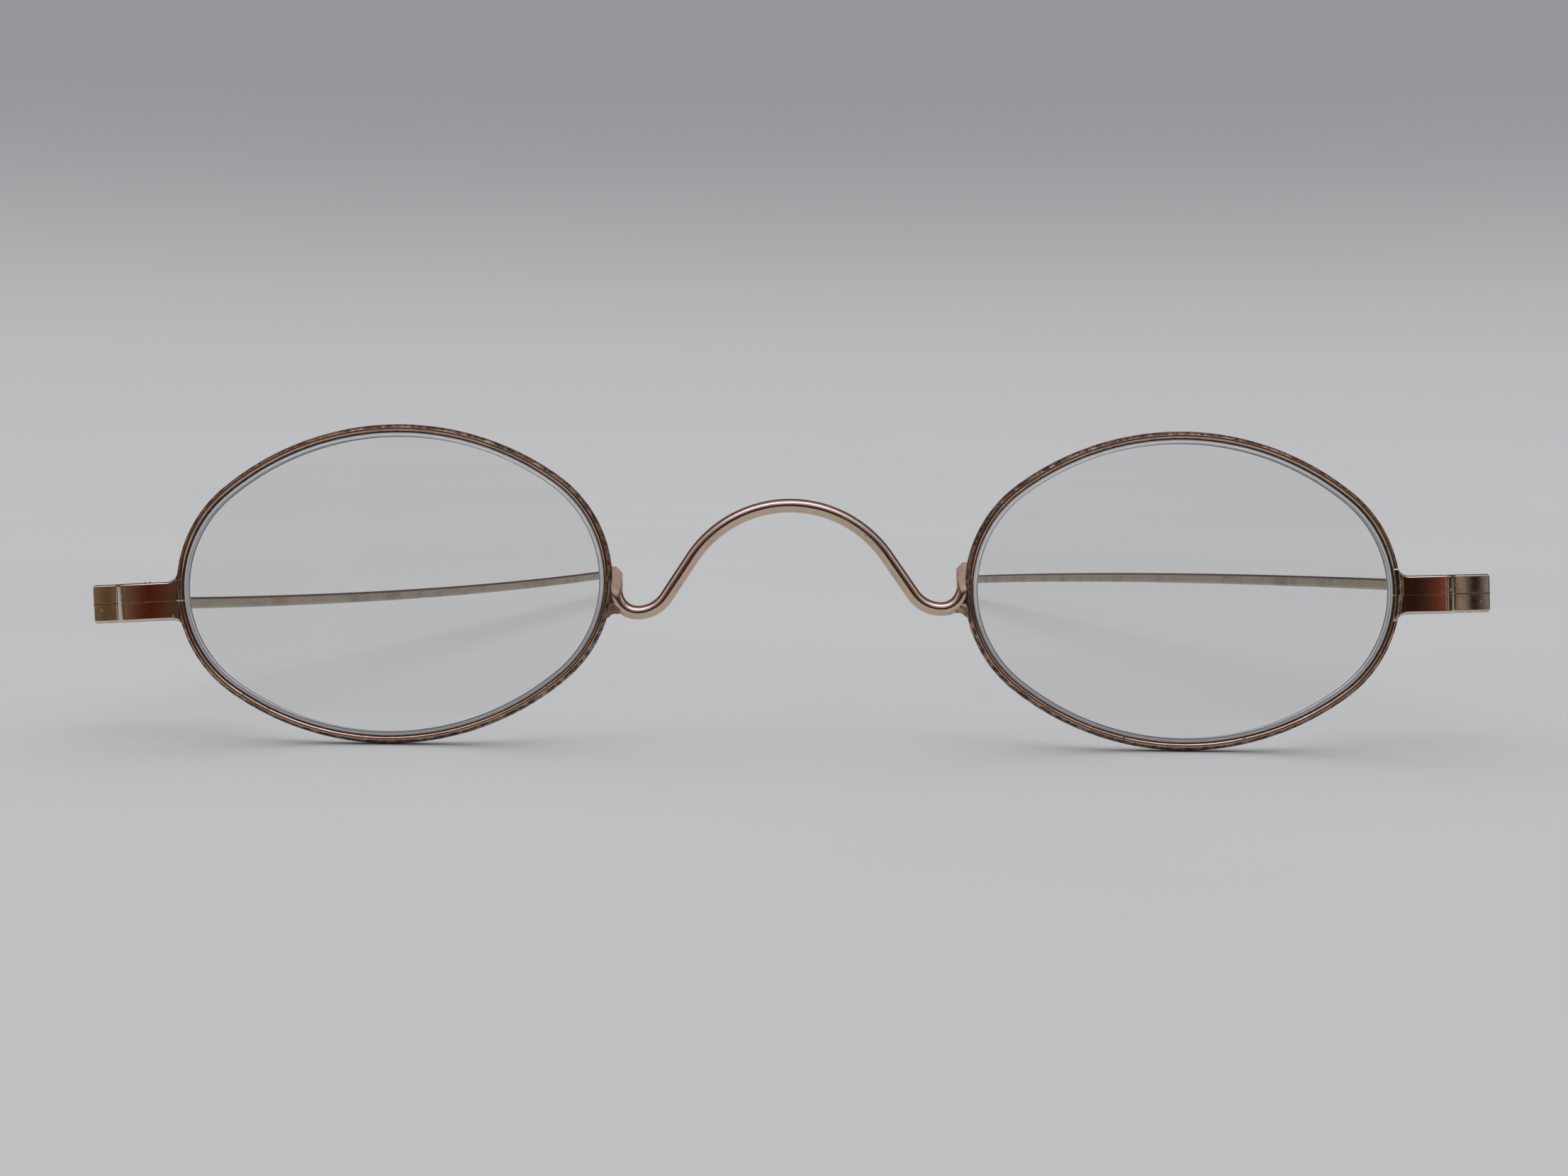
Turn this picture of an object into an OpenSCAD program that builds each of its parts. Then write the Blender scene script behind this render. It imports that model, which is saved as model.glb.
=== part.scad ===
// Antique wire-rimmed spectacles with oval lenses and hinged straight temples.
// They stand on their two rims and their two temple tips, as on a table.
// X runs to the right as seen from the front, Y from the front to the temple tips, Z up.
// The origin is under the middle of the whole object, on the table.

/* [Lenses] */
// Distance between the centres of the two lenses
lens_span = 65; // [60:0.1:72]
// Width of the oval opening inside each rim
opening_w = 34.45; // [31:0.05:38]
// Height of the oval opening inside each rim
opening_h = 24.8; // [22:0.1:28]
// Radius of the two end arcs of the oval opening
opening_end_r = 9.9; // [8.5:0.1:10.8]
// Thickness of a lens
lens_thick = 1.8; // [1.2:0.05:2.4]
// Width of the ground bevel that shows inside the opening
bevel_inside = 0.5; // [0.2:0.05:1]
// How far the lens edge reaches into the groove of the rim
bevel_outside = 0.28; // [0.1:0.02:0.3]
// Thickness of the blunt outer edge of a lens
lens_edge = 0.16; // [0.1:0.02:0.3]
// Clearance between the lens and the walls of the groove
lens_gap = 0.05; // [0.02:0.01:0.08]

/* [Rims] */
// Thickness of the rim wire across the front
rim_wall = 0.75; // [0.65:0.05:1]
// Depth of the rim wire from front to back
rim_depth = 1.3; // [1.25:0.05:1.8]
// Radius of the outer corners of the rim wire
rim_round = 0.3; // [0.1:0.05:0.35]
// Width of the slit that opens each rim between the halves of its end piece
rim_slit = 0.14; // [0.06:0.02:0.3]
// Turn of the left rim in its own plane, outer end down
left_rim_tilt = 2.8; // [0:0.1:4]
// Turn of the right rim in its own plane, outer end down
right_rim_tilt = 0.8; // [0:0.1:4]

/* [Bridge] */
// Diameter of the round bridge wire
bridge_wire_d = 1.14; // [0.9:0.02:1.4]
// Height of the wire's centre at the crest above the lens centres
crest_rise = 6.75; // [5:0.05:9]
// Radius of the last bend, from the valley up into the foot
foot_r = 1.8; // [1.3:0.05:2.3]
// Half of the angle that the crest turns through
crest_turn = 56; // [50:1:60]
// Length of the straight flank on each side
flank_l = 3.8; // [3:0.1:4.5]
// Radius of the valley on the flank's side
valley_r = 2.85; // [2:0.05:3.2]
// Height of the upturned foot that is soldered to the rim
foot_l = 2.05; // [1.4:0.05:2.6]
// How deep the foot is filed to sit against the rim
foot_seat = 0.38; // [0.3:0.01:0.5]
// Angle at which the top of the foot is filed away
foot_bevel = 45; // [30:5:60]
// Radius of the hollow in the solder under each foot
solder_hollow = 1; // [0.5:0.05:1.2]
// Turn of the whole bridge in the plane of the front, left side down
bridge_tilt = 1.2; // [0:0.1:2]
// Sideways shift of the bridge to the left
bridge_shift = 0.05; // [0:0.05:0.3]

/* [End pieces] */
// Distance from the left rim's outer edge to its joint screw
left_reach = 3.2; // [2.9:0.05:4.5]
// Distance from the right rim's outer edge to its joint screw
right_reach = 3.85; // [2.9:0.05:4.5]
// Drop of the left joint below the lens centres
left_drop = 1.75; // [0:0.05:3]
// Drop of the right joint below the lens centres
right_drop = 0.05; // [0:0.05:3]
// Turn of the left end piece, outer end down
left_joint_tilt = 3.2; // [0:0.1:5]
// Turn of the right end piece, outer end up
right_joint_tilt = 1.8; // [0:0.1:5]
// Turn of the left joint's screw in the plane of the front, which sets the height of the folded arm
left_screw_tilt = 3.2; // [2.6:0.1:4]
// Turn of the right joint's screw, so that its folded arm passes under the left arm
right_screw_tilt = 3; // [2.9:0.1:4]
// Height of the strip that shows from the front
strip_h = 3.2; // [3:0.05:4]
// Thickness of the strip
strip_t = 0.75; // [0.5:0.05:0.9]
// Corner radius at the strip's outer end
strip_corner = 0.25; // [0.1:0.05:0.5]
// Gap between the upper and lower halves
split_gap = 0.1; // [0.04:0.02:0.2]
// Distance from the screw to the outer end of the strip
lip_end = 3.95; // [3.6:0.05:5]
// How far the outer lip is set back behind the inner part of the strip
lip_setback = 1.3; // [1:0.05:1.6]
// Inner radius of the two bends between strip and lip
bend_r = 0.3; // [0.1:0.05:0.5]
// Distance from the screw to the first bend
bend_start = 0.75; // [0.5:0.05:1]
// Distance from the strip's front face back to the screw
screw_back = 3.55; // [3.4:0.05:4.2]
// Radius of the solder fillet between strip and rim
strip_fillet = 0.8; // [0.4:0.05:1]

/* [Joints] */
// Radius of the ears and of the tongue round the screw
ear_r = 1.2; // [1.1:0.05:1.35]
// Thickness of each ear
ear_t = 0.75; // [0.5:0.05:0.9]
// Thickness of the tongue between the ears
tongue_t = 0.8; // [0.6:0.05:1]
// Clearance above and below the tongue
tongue_gap = 0.05; // [0.02:0.01:0.1]
// Radius of the screw's shank
screw_r = 0.45; // [0.35:0.01:0.55]
// Clearance between the shank and its holes
screw_gap = 0.03; // [0.01:0.01:0.08]
// Radius of the screw's domed head
screw_head_r = 0.75; // [0.65:0.05:0.9]
// Height of the screw's domed head
screw_head_h = 0.54; // [0.35:0.02:0.6]
// Width of the slot in the screw's head
slot_w = 0.2; // [0.12:0.02:0.3]
// Depth of the slot in the screw's head
slot_d = 0.26; // [0.1:0.02:0.3]
// How far the screw's tip stands out under the lower ear
screw_tip = 0.2; // [0.1:0.05:0.4]

/* [Temples] */
// Distance from the screw to the inner side of the temple's heel
heel_in = 1.95; // [1.75:0.05:2.3]
// Width of the heel across the front
heel_w = 1.8; // [1.2:0.1:2.2]
// Height of the heel
heel_h = 2.2; // [1.8:0.1:2.6]
// Gap between the heel and the back of the lip
heel_gap = 0.05; // [0.03:0.01:0.15]
// Distance from the screw back to the end of the heel
heel_back = 2; // [1.6:0.1:3]
// Height of the temple's arm
arm_h = 1; // [0.8:0.05:1.4]
// Thickness of the temple's arm
arm_t = 0.7; // [0.5:0.05:0.9]
// Corner radius of the arm's section
arm_round = 0.2; // [0.1:0.05:0.24]
// Angle by which each temple runs inward
arm_inward = 11.8; // [6:0.1:14]
// Length of the temple along the table, from the heel to the tip
arm_run = 141; // [120:1:150]
// Length of the drooping ear end
ear_end_l = 14; // [10:1:24]
// Height of the arm's centre above the table where the ear end begins
elbow_h = 3.1; // [2.6:0.1:4]
// Radius of the bend where the ear end begins
elbow_r = 30; // [10:5:40]
// How far above the joint's middle the left arm leaves its heel
left_arm_up = 0; // [-0.3:0.05:0.5]
// How far above the joint's middle the right arm leaves its heel
right_arm_up = 0.35; // [-0.3:0.05:0.5]
// Sag of the left arm at the middle of its length
left_arm_sag = 0.8; // [0.5:0.05:1.2]
// Rise of the right arm at the middle of its length
right_arm_rise = 0.5; // [0.5:0.05:1.2]

/* [Stance] */
// Angle by which the front leans back
front_lean = 4.7; // [2:0.1:7]

/* [Hidden] */
$fn = 96;
// How much fuller every second length of a bent wire is, and how far the others run into it
seam = 0.005;
arm_seam = 0.02;
seam_run = 0.06;
LEFT = -1;
RIGHT = 1;
ROSE_GOLD = [0.72, 0.56, 0.44];
DARK_GOLD = [0.36, 0.24, 0.16];
STEEL = [0.55, 0.53, 0.5];
CLEAR = [0.8, 0.86, 0.86, 0.35];

// The oval: two end arcs and two long arcs that meet without a corner
half_w = opening_w / 2;
half_h = opening_h / 2;
long_r = (half_w * half_w + half_h * half_h - 2 * half_w * opening_end_r) / (2 * (half_h - opening_end_r));
long_shift = long_r - half_h;
end_shift = half_w - opening_end_r;
end_turn = atan2(long_shift, end_shift);
rim_half_w = half_w + rim_wall;
rim_half_h = half_h + rim_wall;

// Bevel of the lens and the groove that holds it
bevel_slope = (lens_thick - lens_edge) / 2 / (bevel_inside + bevel_outside);
groove_depth = bevel_outside + 2 * lens_gap;
groove_floor = lens_edge + 2 * lens_gap;
groove_mouth = groove_floor + 2 * bevel_slope * groove_depth;

// Height of the lens centres when the rims stand on the table, and the foremost point of a rim
rim_low_r = rim_half_h - rim_round + long_shift * (1 - cos(max(left_rim_tilt, right_rim_tilt)));
rim_low_depth = rim_depth / 2 - rim_round;
centre_h = rim_low_r * cos(front_lean) + rim_low_depth * sin(front_lean) + rim_round;
rim_front = -(rim_low_r * sin(front_lean) + rim_low_depth * cos(front_lean) + rim_round);

// Bridge, from the crest outward, each point given in the plane of the bridge;
// the crest's radius is what the gap between the rims leaves for it
foot_x = (lens_span - 2 * rim_half_w) / 2 + foot_seat - bridge_wire_d / 2;
crest_r = (foot_x - foot_r - flank_l * cos(crest_turn)) / sin(crest_turn) - valley_r;
flank_top = [crest_r * sin(crest_turn), -crest_r * (1 - cos(crest_turn))];
flank_foot = flank_top + flank_l * [cos(crest_turn), -sin(crest_turn)];
valley_low = flank_foot + valley_r * [sin(crest_turn), cos(crest_turn) - 1];
solder_depth = 0.8 * bridge_wire_d;
// How far a filled corner's hollow is cut into its two neighbours, so that it ends with a firm edge
fill_bite = 0.05;
rim_end_r = opening_end_r + rim_wall;

// Joints: the place of each screw in the plane of the front
strip_front = -rim_depth / 2;
screw_depth = strip_front + screw_back;
function joint_u(side) = side * (lens_span / 2 + rim_half_w + (side == LEFT ? left_reach : right_reach));
function joint_v(side) = side == LEFT ? -left_drop : -right_drop;
function joint_turn(side) = side == LEFT ? left_joint_tilt : right_joint_tilt;
function screw_turn(side) = side == LEFT ? left_screw_tilt : right_screw_tilt;
function rim_turn(side) = side == LEFT ? left_rim_tilt : -right_rim_tilt;
ear_inner = tongue_t / 2 + tongue_gap;
ear_outer = ear_inner + ear_t;
hole_r = screw_r + screw_gap;
lip_back = -screw_back + lip_setback + strip_t;
heel_front = lip_back + heel_gap;
heel_mid = heel_in + heel_w / 2;
strip_root = -(max(left_reach, right_reach) + rim_wall);

// Centre of one end arc of a rim in the plane of the front; end is -1 on the left and 1 on the right
function rim_end(side, end) = [
    side * lens_span / 2 + end * end_shift * cos(rim_turn(side)),
    end * end_shift * sin(rim_turn(side))
];
// The same centre as seen from a joint, and from the lowest point of the valley
function turned(p, angle) = [p[0] * cos(angle) - p[1] * sin(angle), p[0] * sin(angle) + p[1] * cos(angle)];
function flipped(p, side) = [side * p[0], p[1]];
function rim_from_joint(side) = flipped(
    turned(rim_end(side, side) - [joint_u(side), joint_v(side)], -joint_turn(side)), side
);
function rim_from_valley(side) = flipped(
    turned(rim_end(side, -side) - [-bridge_shift, crest_rise], -bridge_tilt), side
) - valley_low;
// Point at one distance from a first centre and another distance from a second, on its right
function meeting(a, a_r, b, b_r) = let (
    way = (b - a) / norm(b - a),
    along = (a_r * a_r - b_r * b_r + norm(b - a) * norm(b - a)) / (2 * norm(b - a)),
    aside = sqrt(a_r * a_r - along * along)
) a + along * way + aside * [way[1], -way[0]];

// A point of the leaning front, and a point beside a joint, in the table's frame
function front_point(u, n, v) = [
    u + origin_x,
    n * cos(front_lean) + v * sin(front_lean) + origin_y,
    centre_h + v * cos(front_lean) - n * sin(front_lean)
];
function joint_point(side, x, y, z) = front_point(
    joint_u(side) + side * x * cos(screw_turn(side)) - z * sin(screw_turn(side)),
    screw_depth + y,
    joint_v(side) + side * x * sin(screw_turn(side)) + z * cos(screw_turn(side))
);

// Outermost points, which set the origin under the middle of the object
function lip_reach(side) = abs(joint_u(side)) + (lip_end - strip_corner) * cos(joint_turn(side))
    + (strip_h / 2 - strip_corner) * sin(joint_turn(side)) + strip_corner;
origin_x = (lip_reach(LEFT) - lip_reach(RIGHT)) / 2;
heel_end_y = (screw_depth + heel_back) * cos(front_lean) - left_drop * sin(front_lean);
arm_end_y = heel_end_y + arm_run * cos(arm_inward) + arm_t / 2 * sin(arm_inward);
origin_y = -(rim_front + arm_end_y) / 2;

// Arm: from the heel on a long slight bow to the bend, then straight to the tip on the table
function arm_start(side) = joint_point(side, heel_mid, heel_back, side == LEFT ? left_arm_up : right_arm_up);
function arm_length(side) = side == LEFT
    ? arm_run
    : arm_run - (arm_start(RIGHT)[1] - arm_start(LEFT)[1]) / cos(arm_inward);
function arm_bow(side) = side == LEFT ? -left_arm_sag : right_arm_rise;
function bend_point(side) = [arm_length(side) - ear_end_l, elbow_h - arm_start(side)[2]];
function tip_point(side) = [arm_length(side) - arm_h / 2 - arm_seam, arm_h / 2 + arm_seam - arm_start(side)[2]];
function chord_slope(side) = -atan2(bend_point(side)[1], bend_point(side)[0]);
function bow_turn(side) = 2 * atan(2 * arm_bow(side) / norm(bend_point(side)));
function bow_r(side) = norm(bend_point(side)) / (2 * sin(abs(bow_turn(side))));
function start_slope(side) = chord_slope(side) - bow_turn(side);
function end_slope(side) = chord_slope(side) + bow_turn(side);
function bend_centre(side) = bend_point(side) - elbow_r * [sin(end_slope(side)), cos(end_slope(side))];
function ear_straight(side) = let (to_tip = tip_point(side) - bend_centre(side))
    sqrt(to_tip * to_tip - elbow_r * elbow_r);
function ear_slope(side) = let (to_tip = tip_point(side) - bend_centre(side))
    atan2(elbow_r, ear_straight(side)) - atan2(to_tip[1], to_tip[0]);

// Placing: the leaning front, one lens, the strip at one joint, its screw and one arm
module in_front() {
    translate([origin_x, origin_y, centre_h]) rotate([-front_lean, 0, 0]) children();
}

module at_lens(side) {
    in_front() translate([side * lens_span / 2, 0, 0]) rotate([0, -rim_turn(side), 0]) rotate([90, 0, 0]) children();
}

module at_joint(side, turn) {
    in_front() translate([joint_u(side), screw_depth, joint_v(side)]) rotate([0, -turn, 0])
        mirror([side == LEFT ? 1 : 0, 0, 0]) children();
}

module at_strip(side) {
    at_joint(side, joint_turn(side)) children();
}

module at_screw(side) {
    at_joint(side, screw_turn(side)) children();
}

module at_arm(side) {
    translate(arm_start(side)) rotate([0, 0, side * arm_inward]) children();
}

// Angle that a length of wire covers on a bend
function turn_of(length, radius) = length / radius * 180 / PI;
long_over = turn_of(seam_run, long_r);

// A profile carried round the oval: the first child round the ends, the second along the long arcs
module round_the_oval() {
    for (end = [0, 180])
        rotate(end) translate([end_shift, 0, 0]) rotate(-end_turn)
            rotate_extrude(angle = 2 * end_turn) children(0);
    for (half = [0, 180])
        rotate(half) translate([0, -long_shift, 0]) rotate(end_turn - long_over)
            rotate_extrude(angle = 180 - 2 * end_turn + 2 * long_over) children(1);
}

// The oval as a flat outline, grown outward by some distance
module oval(grow) {
    intersection() {
        translate([0, -long_shift]) circle(long_r + grow);
        translate([0, long_shift]) circle(long_r + grow);
        square([2 * (end_shift + (opening_end_r + grow) * cos(end_turn)), 4 * half_h], center = true);
    }
    for (end = [-1, 1]) translate([end * end_shift, 0]) circle(opening_end_r + grow);
}

// Section of the rim wire at some radius: flat inside with the groove, rounded outside
module rim_section(radius, fuller) {
    half = rim_depth / 2 + fuller;
    round = rim_round + fuller;
    translate([radius, 0]) difference() {
        union() {
            translate([-fuller, -half]) square([rim_wall + 2 * fuller - round, 2 * half]);
            translate([-fuller, round - half]) square([rim_wall + 2 * fuller, 2 * (half - round)]);
            for (edge = [-1, 1])
                translate([rim_wall + fuller - round, edge * (half - round)]) circle(round, $fn = 32);
        }
        polygon([
            [-1, fuller - groove_mouth / 2 - bevel_slope],
            [groove_depth - fuller, fuller - groove_floor / 2],
            [groove_depth - fuller, groove_floor / 2 - fuller],
            [-1, groove_mouth / 2 + bevel_slope - fuller]
        ]);
    }
}

module rim(side) {
    color(ROSE_GOLD) difference() {
        at_lens(side) round_the_oval() {
            rim_section(opening_end_r, seam);
            rim_section(long_r, 0);
        }
        at_strip(side) translate([strip_root - rim_wall, -screw_depth - rim_depth, -rim_slit / 2])
            cube([rim_wall - strip_root, 2 * rim_depth, rim_slit]);
    }
}

// Everything inside the rim's outer edge, as a deep block for filing other pieces to the rim
module rim_block(side) {
    at_lens(side) linear_extrude(4 * rim_depth, center = true) oval(rim_wall);
}

// Half section of the lens from the centre of an arc out to the bevelled edge
module lens_section(radius, fuller) {
    face = lens_thick / 2 + fuller;
    edge = lens_edge / 2 + fuller;
    polygon([
        [0, -face],
        [radius - bevel_inside, -face],
        [radius + bevel_outside + fuller, -edge],
        [radius + bevel_outside + fuller, edge],
        [radius - bevel_inside, face],
        [0, face]
    ]);
}

module lens(side) {
    color(CLEAR) at_lens(side) round_the_oval() {
        lens_section(opening_end_r, seam);
        lens_section(long_r, 0);
    }
}

// A bend of the round bridge wire, and a straight length of it along X
module wire_bend(radius, turn, fuller) {
    rotate_extrude(angle = turn) translate([radius, 0]) circle(bridge_wire_d / 2 + fuller, $fn = 48);
}

module wire_straight(length, fuller) {
    rotate([0, 90, 0]) cylinder(r = bridge_wire_d / 2 + fuller, h = length, $fn = 48);
}

// One side of the bridge wire from the crest outward: flank, valley, last bend and foot
module bridge_half() {
    over = turn_of(seam_run, foot_r);
    translate(flank_top) rotate(-crest_turn) translate([-seam_run, 0]) wire_straight(flank_l + 2 * seam_run, 0);
    translate(valley_low + [0, valley_r]) rotate(-90 - crest_turn) wire_bend(valley_r, crest_turn, seam);
    translate(valley_low + [0, foot_r]) rotate(-90 - over) wire_bend(foot_r, 90 + 2 * over, 0);
    translate(valley_low + [foot_r, foot_r]) rotate(90) wire_straight(foot_l, seam);
}

module at_bridge() {
    in_front() translate([-bridge_shift, 0, crest_rise]) rotate([0, -bridge_tilt, 0]) rotate([90, 0, 0]) children();
}

module bridge_wire() {
    at_bridge() {
        translate([0, -crest_r]) rotate(90 - crest_turn) wire_bend(crest_r, 2 * crest_turn, seam);
        for (side = [0, 1]) mirror([side, 0, 0]) bridge_half();
    }
}

// The feet are filed to the rims and bevelled towards them at the top
module bridge() {
    color(ROSE_GOLD) difference() {
        bridge_wire();
        rim_block(LEFT);
        rim_block(RIGHT);
        at_bridge() for (side = [0, 1]) mirror([side, 0, 0])
            translate(valley_low + [foot_r - bridge_wire_d / 2, foot_r + foot_l - bridge_wire_d / 2])
                rotate(foot_bevel) translate([-bridge_wire_d, 0, -bridge_wire_d]) cube(2 * bridge_wire_d);
    }
}

// Solder that fills the corner under each foot of the bridge, hollow below
module bridge_solder(side) {
    bend = [0, foot_r];
    rim = rim_from_valley(side);
    hollow = meeting(bend, foot_r + bridge_wire_d / 2 + solder_hollow, rim, rim_end_r + solder_hollow);
    on_wire = hollow + (bend - hollow) / norm(bend - hollow) * solder_hollow;
    on_rim = hollow + (rim - hollow) / norm(rim - hollow) * solder_hollow;
    in_wire = hollow + (bend - hollow) / norm(bend - hollow) * (solder_hollow + bridge_wire_d / 2);
    color(DARK_GOLD) difference() {
        at_bridge() mirror([side == LEFT ? 1 : 0, 0, 0]) translate([valley_low[0], valley_low[1], -solder_depth / 2])
            linear_extrude(solder_depth) difference() {
                polygon([on_wire, on_rim, on_rim + [rim_wall, 0], [foot_r + rim_wall, foot_r / 2], [foot_r, foot_r / 2], in_wire]);
                translate(hollow) circle(solder_hollow + fill_bite, $fn = 64);
            }
        bridge_wire();
        rim_block(side);
    }
}

// Points on an arc from one angle to another
function arc(centre, radius, from, to, steps = 8) = [
    for (i = [0:steps]) let (a = from + (to - from) * i / steps) centre + radius * [cos(a), sin(a)]
];

// The strip seen from above: a straight inner part, two bends and the lip set back behind it
module strip_plan() {
    outer_r = bend_r + strip_t;
    turn = acos((outer_r + bend_r - lip_setback) / (outer_r + bend_r));
    first = [bend_start, -screw_back + outer_r];
    second = first + [(outer_r + bend_r) * sin(turn), -(outer_r + bend_r) * cos(turn)];
    polygon(concat(
        [[strip_root, -screw_back]],
        arc(first, outer_r, -90, turn - 90),
        arc(second, bend_r, turn + 90, 90),
        [[lip_end, lip_back - strip_t], [lip_end, lip_back]],
        arc(second, outer_r, 90, turn + 90),
        arc(first, bend_r, turn - 90, -90),
        [[strip_root, -screw_back + strip_t]]
    ));
}

// The upper half seen from the front, with its rounded corner and the filled corner at the rim
module half_face(rim) {
    half = strip_h / 2;
    fill_h = half + strip_fillet;
    hollow = [rim[0] + sqrt(pow(rim_end_r + strip_fillet, 2) - pow(fill_h - rim[1], 2)), fill_h];
    on_rim = hollow + (rim - hollow) / norm(rim - hollow) * strip_fillet;
    translate([strip_root, split_gap / 2]) square([lip_end - strip_corner - strip_root, half - split_gap / 2]);
    translate([strip_root, split_gap / 2]) square([lip_end - strip_root, half - strip_corner - split_gap / 2]);
    translate([lip_end - strip_corner, half - strip_corner]) circle(strip_corner, $fn = 32);
    difference() {
        polygon([
            [hollow[0], half - strip_corner],
            [hollow[0], half],
            on_rim,
            on_rim - [rim_wall, 0],
            [on_rim[0] - rim_wall, half - strip_corner]
        ]);
        translate(hollow) circle(strip_fillet + fill_bite, $fn = 32);
    }
}

// Half of an end piece with its ear: lower halves are the same shape turned over
module end_piece(side, lower) {
    rim = rim_from_joint(side);
    color(ROSE_GOLD) difference() {
        union() {
            at_strip(side) mirror([0, 0, lower ? 1 : 0]) intersection() {
                linear_extrude(2 * strip_h) strip_plan();
                rotate([90, 0, 0]) linear_extrude(2 * screw_back) half_face([rim[0], lower ? -rim[1] : rim[1]]);
            }
            at_screw(side) mirror([0, 0, lower ? 1 : 0]) {
                translate([0, 0, ear_inner]) cylinder(r = ear_r, h = ear_t);
                translate([-ear_r, -screw_back + strip_t / 2, ear_inner])
                    cube([ear_r + bend_start, screw_back - strip_t / 2, ear_t]);
            }
        }
        at_screw(side) mirror([0, 0, lower ? 1 : 0]) cylinder(r = hole_r, h = strip_h);
        rim_block(side);
    }
}

// Shank, domed head and slot
module joint_screw(side) {
    dome_r = (screw_head_r * screw_head_r + screw_head_h * screw_head_h) / (2 * screw_head_h);
    color(STEEL) at_screw(side) difference() {
        union() {
            translate([0, 0, -ear_outer - screw_tip]) cylinder(r = screw_r, h = 2 * ear_outer + screw_tip);
            translate([0, 0, ear_outer]) intersection() {
                cylinder(r = screw_head_r, h = screw_head_h);
                translate([0, 0, screw_head_h - dome_r]) sphere(dome_r);
            }
        }
        translate([-screw_head_r, -slot_w / 2, ear_outer + screw_head_h - slot_d])
            cube([2 * screw_head_r, slot_w, slot_d]);
    }
}

// Tongue round the screw and the heel that stops against the back of the lip
module temple_joint(side) {
    color(ROSE_GOLD) difference() {
        at_screw(side) difference() {
            union() {
                translate([0, 0, -tongue_t / 2]) cylinder(r = ear_r, h = tongue_t);
                translate([0, -ear_r, -tongue_t / 2]) cube([heel_mid, 2 * ear_r, tongue_t]);
                translate([heel_in, heel_front, -heel_h / 2]) cube([heel_w, heel_back + heel_w - heel_front, heel_h]);
            }
            translate([0, 0, -tongue_t]) cylinder(r = hole_r, h = 2 * tongue_t);
        }
        at_arm(side) rotate([-start_slope(side), 0, 0])
            translate([-2 * heel_w, 0, -2 * heel_h]) cube([4 * heel_w, 4 * heel_w, 4 * heel_h]);
    }
}

// Section of the arm: flat sides and rounded corners
module arm_section(fuller) {
    wide = arm_t + 2 * fuller;
    high = arm_h + 2 * fuller;
    square([wide - 2 * arm_round, high], center = true);
    square([wide, high - 2 * arm_round], center = true);
    for (x = [-1, 1], y = [-1, 1])
        translate([x * (wide / 2 - arm_round), y * (high / 2 - arm_round)]) circle(arm_round, $fn = 32);
}

// A length of arm bent about a centre in its own upright plane, from one angle onward
module bent_arm(centre, radius, from, turn, fuller) {
    translate([0, centre[0], centre[1]]) rotate([0, -90, 0]) rotate(from)
        rotate_extrude(angle = turn, $fn = 720) translate([radius, 0]) rotate(90) arm_section(fuller);
}

// Slightly bowed arm, gentle bend, ear end and round tip
module temple(side) {
    up = arm_bow(side) > 0 ? 1 : -1;
    bow_way = [sin(start_slope(side)), cos(start_slope(side))];
    over = turn_of(seam_run, bow_r(side));
    bow_from = chord_slope(side) - abs(bow_turn(side)) + (up > 0 ? 0 : 180 - over);
    ear = ear_slope(side);
    ear_way = [0, cos(ear), -sin(ear)];
    ear_start = bend_centre(side) + elbow_r * [sin(ear), cos(ear)];
    tip = [0, ear_start[0], ear_start[1]] + ear_straight(side) * ear_way;
    color(ROSE_GOLD) at_arm(side) union() {
        bent_arm(-up * bow_r(side) * bow_way, bow_r(side), bow_from, 2 * abs(bow_turn(side)) + over, 0);
        bent_arm(bend_centre(side), elbow_r, end_slope(side), ear - end_slope(side), arm_seam);
        translate([0, ear_start[0], ear_start[1]] - seam_run * ear_way) rotate([-90 - ear, 0, 0])
            linear_extrude(ear_straight(side) + seam_run) arm_section(0);
        translate(tip) rotate([0, 90, 0]) cylinder(r = arm_h / 2 + arm_seam, h = arm_t + 2 * arm_seam, center = true);
    }
}

bridge();
rim(LEFT);  // left_rim
rim(RIGHT);  // right_rim
lens(LEFT);  // left_lens
lens(RIGHT);  // right_lens
bridge_solder(LEFT);  // left_bridge_solder
bridge_solder(RIGHT);  // right_bridge_solder
end_piece(LEFT, false);  // left_end_piece_upper
end_piece(LEFT, true);  // left_end_piece_lower
end_piece(RIGHT, false);  // right_end_piece_upper
end_piece(RIGHT, true);  // right_end_piece_lower
joint_screw(LEFT);  // left_joint_screw
joint_screw(RIGHT);  // right_joint_screw
temple_joint(LEFT);  // left_temple_joint
temple_joint(RIGHT);  // right_temple_joint
temple(LEFT);  // left_temple
temple(RIGHT);  // right_temple
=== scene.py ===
"""Antique wire-rimmed spectacles with oval lenses, standing open on a pale table."""

import math

import bpy
import numpy as np
from mathutils import Matrix


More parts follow.
